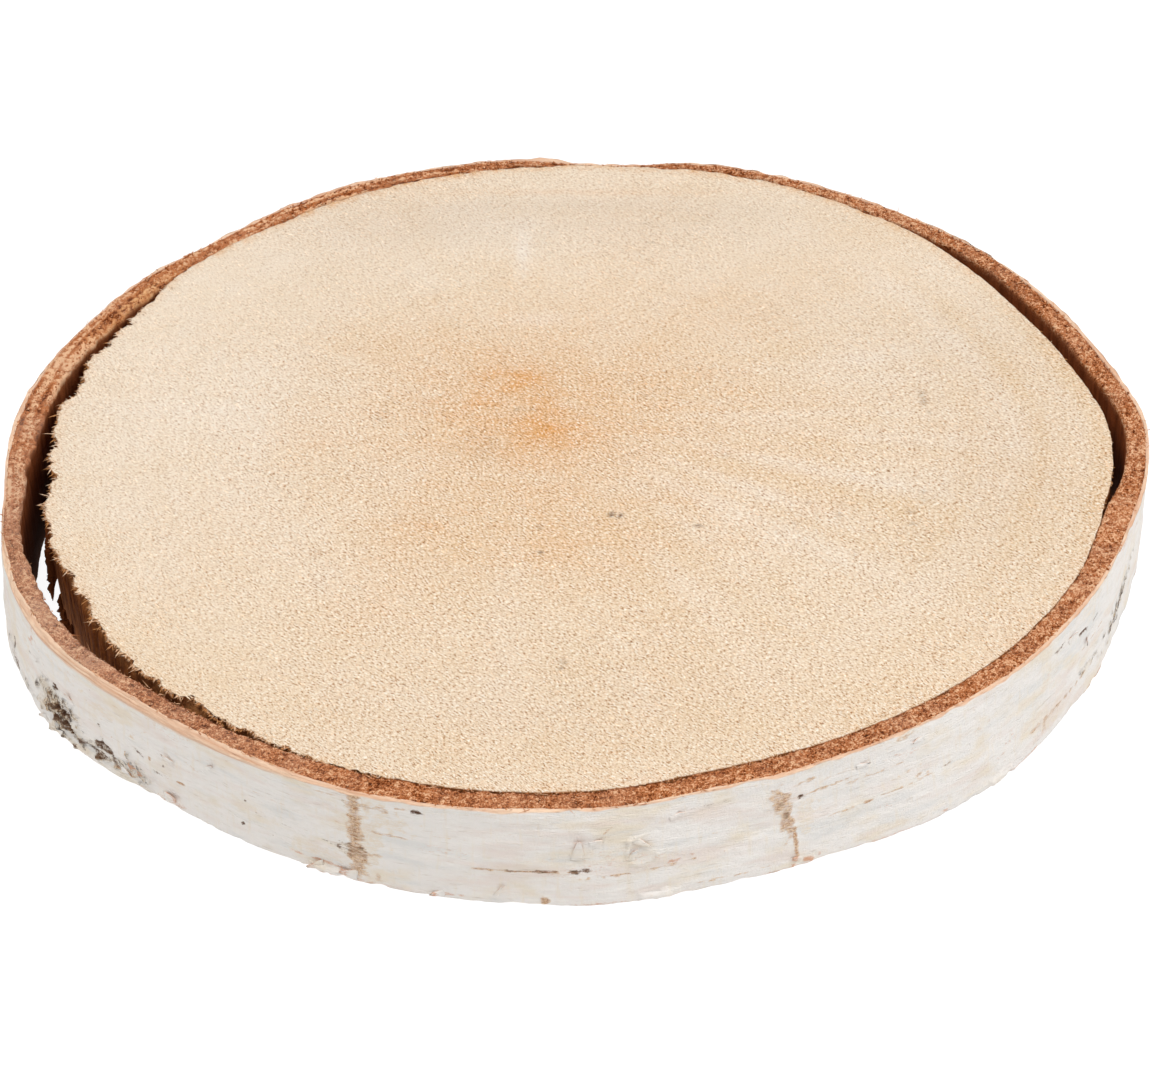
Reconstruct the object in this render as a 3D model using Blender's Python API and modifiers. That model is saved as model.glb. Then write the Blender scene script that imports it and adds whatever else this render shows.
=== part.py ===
"""A slice of birch trunk, sawn 20 mm thick, lying flat on its lower cut.

The slice has three layers that the saw cut lays bare: the pale wood disc, the russet inner bark and the
thin white outer bark. As the slice dried, the bark ring shrank clear of the wood on two sides and stayed
tight to it at the front and the back.

Each layer starts as a round blank turned with a Screw modifier, and its points are then carried to the
trunk's own outline. Outlines are given as stations around the trunk: (degrees from +X towards +Y,
millimetres). They are chosen where the outline turns, and a smooth curve joins them.
"""

import math

import bmesh
import bpy
import numpy as np

MM = 0.001

# Driving dimensions, in millimetres
SLICE_THICKNESS = 20.0
OUTER_BARK_THICKNESS = 1.0
SEAM = 0.3

# How finely the blanks are divided: columns round the trunk, and rows up each face
COLUMNS = 240
WOOD_ROWS = 5
BARK_ROWS = 3
SCARRED_ROWS = 6
SHARP_EDGE = math.radians(35.0)

# Radius of the white outer face at the upper cut
BARK_OUTSIDE = (
    (0, 104.9), (8, 106.3), (20, 104.9), (45, 106.6), (58, 107.0), (74, 107.6), (86, 106.6), (108, 107.0),
    (118, 106.2), (130, 104.9), (148, 104.8), (172, 105.8), (184, 105.8), (190, 107.0), (200, 109.1),
    (210, 109.9), (216, 109.2), (224, 107.7), (234, 107.3), (246, 107.5), (258, 106.8), (272, 105.1),
    (284, 101.9), (292, 100.9), (305, 100.4), (322, 100.5), (340, 101.3), (352, 103.1),
)
# How far the lower cut stands out past the upper one, where the trunk flares or tapers
FLARE = (
    (5, -1.0), (30, -0.3), (90, 0.4), (140, -0.3), (190, 0.0), (204, -0.6), (222, -1.3), (238, -1.5),
    (256, -0.2), (264, 0.6), (277, 1.7), (296, 1.5), (309, 2.6), (318, 1.8), (328, 0.6), (340, 0.1),
    (350, -1.0),
)
# Whole bark, from the face towards the wood to the white face
BARK_THICKNESS = (
    (0, 4.3), (30, 4.2), (42, 3.5), (56, 3.6), (68, 2.5), (90, 2.4), (103, 3.1), (118, 3.7), (135, 4.0),
    (150, 4.9), (174, 4.9), (181, 4.0), (193, 3.5), (200, 4.7), (216, 5.0), (244, 5.4), (275, 5.3),
    (300, 4.7), (338, 4.5), (350, 5.6),
)
# The bark's foot is thicker where it has sprung away on the left
BARK_FOOT = ((140, 0.0), (165, 0.9), (180, 1.5), (190, 1.2), (205, 0.4), (218, 0.0))
# Clear space that drying opened between the wood and the bark, at the upper cut
DRYING_GAP = (
    (0, 2.2), (9, 3.0), (20, 2.7), (33, 3.2), (41, 2.9), (48, 1.5), (56, 0.4), (64, 0.3), (140, 0.3),
    (147, 1.6), (162, 1.7), (176, 2.7), (181, 3.9), (190, 4.3), (197, 5.5), (206, 5.8), (212, 4.8),
    (219, 2.5), (228, 1.2), (236, 0.9), (244, 0.3), (348, 0.3), (355, 1.4),
)
# How far the wood's foot stands out past its upper edge, beyond the flare
WOOD_FOOT = (
    (150, 0.0), (172, -0.6), (180, 0.4), (185, -1.2), (189, -2.7), (194, -2.2), (205, -0.8), (214, 0.0),
)


class Bump:
    """A rounded local change in an outline: where it lies, how wide it is and how deep."""

    def __init__(self, angle, half_width, size, height=0.5, half_height=None):
        self.angle = angle
        self.half_width = half_width
        self.size = size
        self.height = height
        self.half_height = half_height

    def at(self, degrees, up):
        """The change in millimetres at this angle, and at this share of the slice's height."""
        turn = (degrees - self.angle + 180.0) % 360.0 - 180.0
        spread = (turn / self.half_width) ** 2
        if self.half_height is not None:
            spread += ((up - self.height) / self.half_height) ** 2
        return self.size * math.exp(-spread)


# Bites that tore out of the wood's edge with the bark
WOOD_BITES = (
    Bump(164.5, 2.2, 2.0),
    Bump(182.5, 2.5, 0.9, height=1.0, half_height=0.35),
)
# The branch scar and the two branch-collar lines stand proud of the white bark
BARK_RIDGES = (
    Bump(211.5, 4.0, 0.7, height=0.2, half_height=0.4),
    Bump(221.0, 3.0, 0.3, height=0.15, half_height=0.25),
    Bump(249.5, 1.8, 0.2),
    Bump(290.0, 2.0, 0.2),
    Bump(342.0, 5.0, 0.3, height=0.4, half_height=0.3),
)
# Where the bark's upper edge is worn lower than the wood, with the depth as a loss of height
BARK_EDGE_DIPS = (
    Bump(87.0, 6.0, 1.5),
    Bump(133.0, 7.0, 0.9),
)


class Stations:
    """A smooth closed curve through (degrees, millimetres) stations, without overshoot between them."""

    def __init__(self, stations):
        degrees, sizes = (np.array(column, float) for column in zip(*stations))
        self.degrees = np.concatenate([degrees[-2:] - 360.0, degrees, degrees[:2] + 360.0])
        self.sizes = np.concatenate([sizes[-2:], sizes, sizes[:2]])
        steps = np.diff(self.degrees)
        rises = np.diff(self.sizes) / steps
        before, after = rises[:-1], rises[1:]
        turning = before * after <= 0.0
        weight = np.where(turning, 1.0, before + after)
        slopes = np.where(turning, 0.0, 2.0 * before * after / weight)
        self.slopes = np.concatenate([[0.0], slopes, [0.0]])

    def at(self, degrees):
        """The size at this angle."""
        degrees = (degrees - self.degrees[1]) % 360.0 + self.degrees[1]
        i = int(np.searchsorted(self.degrees, degrees, side="right")) - 1
        span = self.degrees[i + 1] - self.degrees[i]
        t = (degrees - self.degrees[i]) / span
        rise = self.sizes[i + 1] - self.sizes[i]
        start, end = self.slopes[i] * span, self.slopes[i + 1] * span
        ease = t * t * (3.0 - 2.0 * t)
        return self.sizes[i] + rise * ease + start * t * (1.0 - t) ** 2 - end * t * t * (1.0 - t)


class Trunk:
    """Every face of the slice, as a radius in millimetres at an angle and a share of the height."""

    def __init__(self):
        self.outside = Stations(BARK_OUTSIDE)
        self.flare = Stations(FLARE)
        self.thickness = Stations(BARK_THICKNESS)
        self.bark_foot = Stations(BARK_FOOT)
        self.gap = Stations(DRYING_GAP)
        self.wood_foot = Stations(WOOD_FOOT)

    def smooth_outside(self, degrees, up):
        """The white face before its scars."""
        return self.outside.at(degrees) + self.flare.at(degrees) * (1.0 - up)

    def white_face(self, degrees, up):
        """The white face with its scar and ridges."""
        ridges = sum(ridge.at(degrees, up) for ridge in BARK_RIDGES)
        return self.smooth_outside(degrees, up) + ridges

    def bark_inside(self, degrees, up):
        """The bark's face towards the wood."""
        foot = self.bark_foot.at(degrees) * (1.0 - up)
        return self.smooth_outside(degrees, up) - self.thickness.at(degrees) - foot

    def wood_face(self, degrees, up):
        """The wood's own side, which never comes nearer to the bark than the seam."""
        bites = sum(bite.at(degrees, up) for bite in WOOD_BITES)
        inside_at_top = self.smooth_outside(degrees, 1.0) - self.thickness.at(degrees)
        edge = inside_at_top - self.gap.at(degrees)
        foot = (self.flare.at(degrees) + self.wood_foot.at(degrees)) * (1.0 - up)
        return min(edge + foot - bites, self.bark_inside(degrees, up) - SEAM)

    def bark_height(self, degrees):
        """The height of the bark's upper edge."""
        return SLICE_THICKNESS - sum(dip.at(degrees, 1.0) for dip in BARK_EDGE_DIPS)

    def middle(self):
        """The middle of the outline's own box, which becomes the origin."""
        corners = []
        for column in range(COLUMNS):
            degrees = 360.0 * column / COLUMNS
            turn = math.radians(degrees)
            for row in range(SCARRED_ROWS + 1):
                radius = self.white_face(degrees, row / SCARRED_ROWS)
                corners.append((radius * math.cos(turn), radius * math.sin(turn)))
        low, high = np.min(corners, axis=0), np.max(corners, axis=0)
        return (low + high) / 2.0


def clear_scene():
    """Removes whatever the startup file left in the scene."""
    for obj in list(bpy.data.objects):
        bpy.data.objects.remove(obj, do_unlink=True)


def hex_colour(code):
    """Linear RGBA of an sRGB hex colour."""
    parts = (int(code[i : i + 2], 16) / 255.0 for i in (1, 3, 5))
    return (*(c / 12.92 if c <= 0.04045 else ((c + 0.055) / 1.055) ** 2.4 for c in parts), 1.0)


def material(name, colour, roughness):
    """A Principled material of one colour."""
    made = bpy.data.materials.new(name)
    made.use_nodes = True
    shader = made.node_tree.nodes["Principled BSDF"]
    shader.inputs["Base Color"].default_value = hex_colour(colour)
    shader.inputs["Roughness"].default_value = roughness
    shader.inputs["Metallic"].default_value = 0.0
    made.diffuse_color = hex_colour(colour)
    return made


def turned_blank(name, profile, closed):
    """A round blank turned about Z from a profile of (radius, height), as a mesh."""
    mesh = bpy.data.meshes.new(name + "_profile")
    edges = [(i, i + 1) for i in range(len(profile) - 1)]
    if closed:
        edges.append((len(profile) - 1, 0))
    mesh.from_pydata([(radius, 0.0, height) for radius, height in profile], edges, [])
    blank = bpy.data.objects.new(name + "_blank", mesh)
    bpy.context.scene.collection.objects.link(blank)
    screw = blank.modifiers.new("Turn", "SCREW")
    screw.axis = "Z"
    screw.angle = math.tau
    screw.steps = COLUMNS
    screw.render_steps = COLUMNS
    screw.use_merge_vertices = True
    screw.merge_threshold = 0.0001
    graph = bpy.context.evaluated_depsgraph_get()
    turned = bpy.data.meshes.new_from_object(blank.evaluated_get(graph))
    bpy.data.objects.remove(blank, do_unlink=True)
    bpy.data.meshes.remove(mesh)
    turned.name = name
    return turned


def shaped(mesh, place, middle):
    """Carries each point of a blank to its place on the trunk.

    place takes the angle in degrees, the blank's radius and its share of the height, and gives the
    trunk's radius and height in millimetres.
    """
    solid = bmesh.new()
    solid.from_mesh(mesh)
    for point in solid.verts:
        blank_radius = math.hypot(point.co.x, point.co.y)
        turn = math.atan2(point.co.y, point.co.x)
        radius, height = place(math.degrees(turn) % 360.0, blank_radius, point.co.z)
        point.co.x = (radius * math.cos(turn) - middle[0]) * MM
        point.co.y = (radius * math.sin(turn) - middle[1]) * MM
        point.co.z = height * MM
    bmesh.ops.recalc_face_normals(solid, faces=solid.faces)
    solid.to_mesh(mesh)
    solid.free()
    return mesh


def ring_profile(inner_rows, outer_rows):
    """A closed ring section: radius 1 is its inner face and 2 its outer face, and the height runs 0 to 1."""
    down_outside = [(2.0, 1.0 - i / outer_rows) for i in range(outer_rows + 1)]
    up_inside = [(1.0, i / inner_rows) for i in range(inner_rows + 1)]
    return down_outside + up_inside


def disc_profile(rows):
    """A disc section from the axis over the rim and back to the axis, at radius 1."""
    down_rim = [(1.0, 1.0 - i / rows) for i in range(rows + 1)]
    return [(0.0, 1.0), *down_rim, (0.0, 0.0)]


def add_part(name, mesh, finish, collection):
    """Puts a finished mesh in the slice's collection as one named sub-part."""
    mesh.materials.clear()
    mesh.materials.append(finish)
    part = bpy.data.objects.new(name, mesh)
    collection.objects.link(part)
    mesh.shade_smooth()
    mesh.set_sharp_from_angle(angle=SHARP_EDGE)
    return part


def build_wood_disc(trunk, middle, collection):
    """The pale wood, sawn flat on both faces, with its side bare where the bark has sprung away."""

    def place(degrees, blank_radius, up):
        return blank_radius * trunk.wood_face(degrees, up), up * SLICE_THICKNESS

    blank = turned_blank("wood_disc", disc_profile(WOOD_ROWS), closed=False)
    finish = material("sawn_birch_wood", "#EAD3B6", 0.85)
    return add_part("wood_disc", shaped(blank, place, middle), finish, collection)


def build_inner_bark(trunk, middle, collection):
    """The thick russet layer under the white skin."""

    def place(degrees, blank_radius, up):
        inner = trunk.bark_inside(degrees, up)
        outer = trunk.smooth_outside(degrees, up) - OUTER_BARK_THICKNESS - SEAM
        share = blank_radius - 1.0
        return inner + (outer - inner) * share, up * trunk.bark_height(degrees)

    blank = turned_blank("inner_bark", ring_profile(BARK_ROWS, BARK_ROWS), closed=True)
    finish = material("russet_inner_bark", "#9A6244", 0.9)
    return add_part("inner_bark", shaped(blank, place, middle), finish, collection)


def build_outer_bark(trunk, middle, collection):
    """The thin white skin, with the branch scar and branch-collar lines standing proud of it."""

    def place(degrees, blank_radius, up):
        inner = trunk.smooth_outside(degrees, up) - OUTER_BARK_THICKNESS
        share = blank_radius - 1.0
        radius = inner + (trunk.white_face(degrees, up) - inner) * share
        return radius, up * trunk.bark_height(degrees)

    blank = turned_blank("outer_bark", ring_profile(BARK_ROWS, SCARRED_ROWS), closed=True)
    finish = material("white_outer_bark", "#DED6CE", 0.6)
    return add_part("outer_bark", shaped(blank, place, middle), finish, collection)


def main():
    """Builds the slice, resting on Z = 0 with its outline centred on the origin."""
    clear_scene()
    collection = bpy.data.collections.new("birch_slice")
    bpy.context.scene.collection.children.link(collection)
    trunk = Trunk()
    middle = trunk.middle()
    build_wood_disc(trunk, middle, collection)
    build_inner_bark(trunk, middle, collection)
    build_outer_bark(trunk, middle, collection)


main()
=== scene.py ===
"""Looks of a dried slice of birch trunk: sawn wood, russet inner bark and papery white skin.

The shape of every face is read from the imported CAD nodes, so each piece lies where its solid lies. What is
added here is what the saw, the drying and the bark itself leave on those faces: raised nap, torn fibres,
cork grain, lenticels, stains and peeling skin. Lengths are in millimetres, angles in degrees from +X
towards +Y, and a height is measured up from the lower cut.
"""

import logging
import math
from dataclasses import dataclass
from enum import Enum
from functools import cached_property

import bpy
import numpy as np
from bpy.types import Material, Mesh, Node, NodeSocket, NodeTree, Object
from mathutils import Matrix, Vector
from mathutils.bvhtree import BVHTree
from numpy.typing import NDArray


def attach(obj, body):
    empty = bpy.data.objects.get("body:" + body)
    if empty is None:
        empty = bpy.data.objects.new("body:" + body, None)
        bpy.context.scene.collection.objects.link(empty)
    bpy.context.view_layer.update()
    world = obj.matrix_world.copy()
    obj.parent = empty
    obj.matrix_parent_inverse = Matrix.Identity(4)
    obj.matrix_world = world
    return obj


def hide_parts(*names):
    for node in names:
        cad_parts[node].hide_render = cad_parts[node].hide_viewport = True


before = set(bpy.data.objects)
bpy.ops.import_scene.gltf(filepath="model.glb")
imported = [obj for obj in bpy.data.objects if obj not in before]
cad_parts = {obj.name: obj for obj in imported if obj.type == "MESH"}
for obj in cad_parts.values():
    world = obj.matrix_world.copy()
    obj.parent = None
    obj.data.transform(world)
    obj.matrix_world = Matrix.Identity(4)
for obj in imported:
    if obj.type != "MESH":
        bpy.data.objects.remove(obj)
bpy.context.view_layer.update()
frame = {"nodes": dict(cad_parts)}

Floats = NDArray[np.float64]
Indices = NDArray[np.int64]
Row = tuple[Floats, dict[str, Floats | float]]

LOG = logging.getLogger("birch_slice")

MM = 0.001
BODY = "root"
SLICE_THICKNESS = 20.0
TRUNK_ROUND = 660.0


def linear(code: str) -> tuple[float, float, float, float]:
    """Turns an sRGB hex colour into linear RGBA.

    Args:
        code: The colour as "#RRGGBB".

    Returns:
        Red, green, blue and alpha, linear.
    """
    parts = (int(code[i : i + 2], 16) / 255.0 for i in (1, 3, 5))
    return (*(c / 12.92 if c <= 0.04045 else ((c + 0.055) / 1.055) ** 2.4 for c in parts), 1.0)


def ease(value: Floats, low: float, high: float) -> Floats:
    """Rises smoothly from 0 to 1 as a value goes from low to high.

    Args:
        value: The values.
        low: Where the rise starts.
        high: Where it ends.

    Returns:
        The eased values, from 0 to 1.
    """
    t = np.clip((value - low) / (high - low), 0.0, 1.0)
    return t * t * (3.0 - 2.0 * t)


def turn_between(angle: Floats, centre: float) -> Floats:
    """The signed turn in degrees from a centre to an angle, the short way round."""
    return (angle - centre + 180.0) % 360.0 - 180.0


def hump(angle: Floats, centre: float, half_width: float) -> Floats:
    """A rounded hump of height 1 round the trunk, at a centre angle, with its half width in degrees."""
    return np.exp(-((turn_between(angle, centre) / half_width) ** 2))


def near(angle: Floats, centre: float, reach: float, core: float) -> Floats:
    """Rises smoothly from 0 at a reach in degrees from a centre angle to 1 inside its core."""
    return ease(np.abs(turn_between(angle, centre)), reach, core)


def loose_left(angle: Floats) -> Floats:
    """Where the skin's cut edge is broad, from 0 to 1: at the front left, where the saw broke it back."""
    return near(angle, 220.0, 30.0, 15.0)


def closed(angle: Floats) -> Floats:
    """How tightly the bark sits on the wood, from 0 where a gap shows to 1 at the front."""
    return near(angle, 298.0, 66.0, 48.0)


def round_the_trunk(angle: Floats) -> Floats:
    """The length round the trunk at these angles."""
    return angle / 360.0 * TRUNK_ROUND


def polar(angle: Floats, radius: Floats, height: Floats) -> Floats:
    """Points from angles in degrees, radii and heights, as an array of x, y, z."""
    turn = np.radians(angle)
    return np.stack(np.broadcast_arrays(radius * np.cos(turn), radius * np.sin(turn), height), axis=-1)


@dataclass(frozen=True)
class GrainField:
    """A repeating patch of smooth random relief, with its grains longer one way than the other.

    Attributes:
        width: Length of the patch before it repeats.
        height: Height of the patch before it repeats.
        cell: Distance between its samples.
        along: Length of a grain.
        across: Width of a grain.
        lean: Angle of the grain's length to the patch's width.
        seed: Seed of the random draw.
    """

    width: float
    height: float
    cell: float
    along: float
    across: float
    lean: float = 0.0
    seed: int = 0

    @cached_property
    def grid(self) -> Floats:
        """The patch's samples.

        Returns:
            The samples, with mean 0 and deviation 1.
        """
        rows, columns = round(self.height / self.cell), round(self.width / self.cell)
        noise = np.random.default_rng(self.seed).standard_normal((rows, columns))
        across_x = np.fft.fftfreq(columns, self.width / columns)[None, :]
        across_y = np.fft.fftfreq(rows, self.height / rows)[:, None]
        cosine, sine = math.cos(math.radians(self.lean)), math.sin(math.radians(self.lean))
        long_way = across_x * cosine + across_y * sine
        short_way = across_y * cosine - across_x * sine
        blur = 2.0 * (math.pi / 2.355) ** 2
        keep = np.exp(-blur * ((long_way * self.along) ** 2 + (short_way * self.across) ** 2))
        soft = np.fft.ifft2(np.fft.fft2(noise) * keep).real
        return (soft - soft.mean()) / soft.std()

    def at(self, u: Floats, v: Floats) -> Floats:
        """Reads the relief at points of the patch.

        Args:
            u: Places along the width.
            v: Places along the height.

        Returns:
            The relief, with mean 0 and deviation 1.
        """
        rows, columns = self.grid.shape
        x, y = u / self.width * columns, v / self.height * rows
        x0, y0 = np.floor(x).astype(int), np.floor(y).astype(int)
        fx, fy = x - x0, y - y0
        x0, y0, x1, y1 = x0 % columns, y0 % rows, (x0 + 1) % columns, (y0 + 1) % rows
        low = self.grid[y0, x0] * (1 - fx) + self.grid[y0, x1] * fx
        high = self.grid[y1, x0] * (1 - fx) + self.grid[y1, x1] * fx
        return low * (1 - fy) + high * fy


class Wall:
    """One upright face of a CAD node, read by rays, as a radius at any angle and share of its height."""

    ANGLES = 720
    LEVELS = 13
    SOFTENING = 0.6
    DEPTHS = (0.15, 0.35, 0.55, 0.75, 0.95)

    def __init__(self, node: Object, outer: bool) -> None:
        """Reads the face.

        Args:
            node: The CAD node.
            outer: True for its face away from the axis, False for the one towards it.
        """
        mesh = node.data
        corners = [vertex.co for vertex in mesh.vertices]
        self.tree = BVHTree.FromPolygons(corners, [tuple(face.vertices) for face in mesh.polygons])
        self.angles = np.arange(self.ANGLES) * 360.0 / self.ANGLES
        self.shares = np.linspace(0.01, 0.99, self.LEVELS)
        inwards = -1.0 if outer else 1.0
        rims = [
            max(self._top(angle, self._radius(angle, 18.0, outer) + inwards * depth) for depth in self.DEPTHS)
            for angle in self.angles
        ]
        self.tops = self._soften(np.array(rims))
        self.radii = np.array(
            [
                self._soften(
                    np.array([self._radius(a, share * top, outer) for a, top in zip(self.angles, self.tops)])
                )
                for share in self.shares
            ]
        )

    def _radius(self, angle: float, height: float, outer: bool) -> float:
        """The radius where a level ray at this angle and height meets the face.

        Args:
            angle: The ray's angle in degrees.
            height: Its height.
            outer: True for a ray from outside.

        Returns:
            The radius.
        """
        turn = math.radians(angle)
        outwards = Vector((math.cos(turn), math.sin(turn), 0.0))
        start = outwards * 0.2 if outer else Vector((0.0, 0.0, 0.0))
        start.z = height * MM
        found = self.tree.ray_cast(start, -outwards if outer else outwards)[0]
        return math.hypot(found.x, found.y) / MM

    def _top(self, angle: float, radius: float) -> float:
        """The height where a ray from above meets the solid.

        Args:
            angle: The ray's angle in degrees.
            radius: Its distance from the axis.

        Returns:
            The height, or 0 where the ray meets nothing.
        """
        turn = math.radians(angle)
        start = Vector((radius * MM * math.cos(turn), radius * MM * math.sin(turn), 1.0))
        found = self.tree.ray_cast(start, Vector((0.0, 0.0, -1.0)))[0]
        return 0.0 if found is None else found.z / MM

    def _soften(self, values: Floats) -> Floats:
        """Rounds off the flats between the solid's columns.

        Args:
            values: One value at each of the face's angles.

        Returns:
            The softened values.
        """
        waves = np.fft.fftfreq(self.ANGLES, 360.0 / self.ANGLES)
        keep = np.exp(-2.0 * (math.pi * self.SOFTENING * waves) ** 2)
        return np.fft.ifft(np.fft.fft(values) * keep).real

    def top(self, angle: Floats) -> Floats:
        """The height of the upper rim at these angles."""
        return np.interp(angle % 360.0, self.angles, self.tops, period=360.0)

    def at(self, angle: Floats, share: Floats | float = 1.0) -> Floats:
        """Reads the face.

        Args:
            angle: Angles in degrees.
            share: Shares of the face's height, from 0 at the lower cut to 1 at the upper rim.

        Returns:
            The radii.
        """
        angle, share = np.broadcast_arrays(np.asarray(angle, float) % 360.0, np.asarray(share, float))
        column = angle / 360.0 * self.ANGLES
        row = np.clip(np.interp(share, self.shares, np.arange(self.LEVELS)), 0, self.LEVELS - 1.001)
        c0, r0 = np.floor(column).astype(int), np.floor(row).astype(int)
        fc, fr = column - c0, row - r0
        c0, c1 = c0 % self.ANGLES, (c0 + 1) % self.ANGLES
        low = self.radii[r0, c0] * (1 - fc) + self.radii[r0, c1] * fc
        high = self.radii[r0 + 1, c0] * (1 - fc) + self.radii[r0 + 1, c1] * fc
        return low * (1 - fr) + high * fr


class SliceShape:
    """The four upright faces that the slice's three layers have."""

    def __init__(self, nodes: dict[str, Object]) -> None:
        """Reads the faces from the CAD nodes, given by name.

        Args:
            nodes: The CAD nodes by name.
        """
        self.wood = Wall(nodes["wood_disc"], outer=True)
        self.bark_inside = Wall(nodes["inner_bark"], outer=False)
        self.seam = Wall(nodes["inner_bark"], outer=True)
        self.white = Wall(nodes["outer_bark"], outer=True)
        self.edge_noise = GrainField(TRUNK_ROUND, 10.0, 0.5, 7.0, 3.0, seed=2)

    def cut_edge(self, angle: Floats) -> Floats:
        """The radius where the russet bark meets the white skin on the upper cut.

        Args:
            angle: Angles in degrees.

        Returns:
            The radii.
        """
        width = 0.36 + 0.6 * loose_left(angle) + 0.16 * near(angle, 0.0, 42.0, 20.0)
        width += 0.12 * self.edge_noise.at(round_the_trunk(angle), 0.0 * angle)
        return self.white.at(angle) - np.clip(width, 0.2, 1.4)


def add_node(tree: NodeTree, kind: str, settings: dict | None = None, inputs: dict | None = None) -> Node:
    """Adds one shader node.

    Args:
        tree: The material's node tree.
        kind: The node's type name, without its "ShaderNode" start.
        settings: The node's own properties by name.
        inputs: Its inputs by name or number: a socket is linked, anything else is set as the value.

    Returns:
        The node.
    """
    node = tree.nodes.new("ShaderNode" + kind)
    for name, value in (settings or {}).items():
        setattr(node, name, value)
    for name, value in (inputs or {}).items():
        if isinstance(value, NodeSocket):
            tree.links.new(value, node.inputs[name])
        else:
            node.inputs[name].default_value = value
    return node


class Dresser:
    """Short words for the shader steps that the slice's finishes share."""

    def __init__(self, name: str, roughness: float, gloss: float) -> None:
        """Starts a Principled material.

        Args:
            name: The material's name.
            roughness: Its roughness.
            gloss: How much it mirrors, as the shader's specular level.
        """
        self.material = bpy.data.materials.new(name)
        self.material.use_nodes = True
        self.tree = self.material.node_tree
        self.shader = self.tree.nodes["Principled BSDF"]
        self.shader.inputs["Roughness"].default_value = roughness
        self.shader.inputs["IOR"].default_value = 1.5
        self.shader.inputs["Specular IOR Level"].default_value = gloss
        place = add_node(self.tree, "TexCoord")
        scale = {0: place.outputs["Object"], "Scale": 1.0 / MM}
        self.place = add_node(self.tree, "VectorMath", {"operation": "SCALE"}, scale).outputs[0]

    def painted(self, name: str) -> NodeSocket:
        """A value that the piece's mesh carries at its points."""
        return add_node(self.tree, "Attribute", {"attribute_name": name}).outputs["Fac"]

    def grain(
        self, size: tuple[float, float, float], lean: float = 0.0, detail: float = 2.0, tip: float = 0.0
    ) -> NodeSocket:
        """Random grain.

        Args:
            size: The grain's size in millimetres along X, Y and Z.
            lean: Its turn about Z in degrees.
            detail: How many finer layers it has.
            tip: Its turn about X in degrees, made before the turn about Z.

        Returns:
            A value about 0.5, mostly from 0.3 to 0.7.
        """
        turned = add_node(
            self.tree,
            "Mapping",
            {"vector_type": "TEXTURE"},
            {"Vector": self.place, "Rotation": (math.radians(tip), 0.0, math.radians(lean)), "Scale": size},
        )
        noise = {"Vector": turned.outputs[0], "Scale": 1.0, "Detail": detail, "Roughness": 0.55}
        return add_node(self.tree, "TexNoise", {}, noise).outputs["Fac"]

    def stretch(self, value: NodeSocket, low: float, high: float) -> NodeSocket:
        """A value eased to run from 0 at low to 1 at high."""
        inputs = {"Value": value, "From Min": low, "From Max": high}
        return add_node(self.tree, "MapRange", {"interpolation_type": "SMOOTHSTEP"}, inputs).outputs[0]

    def times(self, one: NodeSocket, other: NodeSocket | float) -> NodeSocket:
        """The product of two values."""
        return add_node(self.tree, "Math", {"operation": "MULTIPLY"}, {0: one, 1: other}).outputs[0]

    def plus(self, one: NodeSocket, other: NodeSocket | float) -> NodeSocket:
        """The sum of two values."""
        return add_node(self.tree, "Math", {"operation": "ADD"}, {0: one, 1: other}).outputs[0]

    def blend(self, share: NodeSocket, one: NodeSocket | str, other: NodeSocket | str) -> NodeSocket:
        """Goes from one colour to another.

        Args:
            share: How much of the other colour shows, from 0 to 1.
            one: The first colour, as a socket or an sRGB hex code.
            other: The second colour.

        Returns:
            The blended colour.
        """
        one = linear(one) if isinstance(one, str) else one
        other = linear(other) if isinstance(other, str) else other
        mixed = add_node(self.tree, "Mix", {"data_type": "RGBA"}, {"Factor": share, 6: one, 7: other})
        return mixed.outputs[2]

    def brighten(self, colour: NodeSocket, amount: NodeSocket) -> NodeSocket:
        """A colour with its brightness multiplied by a value."""
        inputs = {"Color": colour, "Value": amount}
        return add_node(self.tree, "HueSaturation", {}, inputs).outputs[0]

    def bump(self, height: NodeSocket, distance: float, under: NodeSocket | None = None) -> NodeSocket:
        """Relief too fine for the mesh.

        Args:
            height: The relief, from 0 to 1.
            distance: Its depth in millimetres.
            under: A coarser relief that it lies on.

        Returns:
            The bent normal.
        """
        inputs = {"Height": height, "Distance": distance * MM, "Strength": 1.0}
        if under is not None:
            inputs["Normal"] = under
        return add_node(self.tree, "Bump", {}, inputs).outputs[0]

    def finish(self, colour: NodeSocket, normal: NodeSocket) -> Material:
        """Joins the colour and the relief to the shader and returns the material.

        Args:
            colour: The colour.
            normal: The normal that the relief bends.

        Returns:
            The material.
        """
        self.tree.links.new(colour, self.shader.inputs["Base Color"])
        self.tree.links.new(normal, self.shader.inputs["Normal"])
        return self.material


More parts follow.
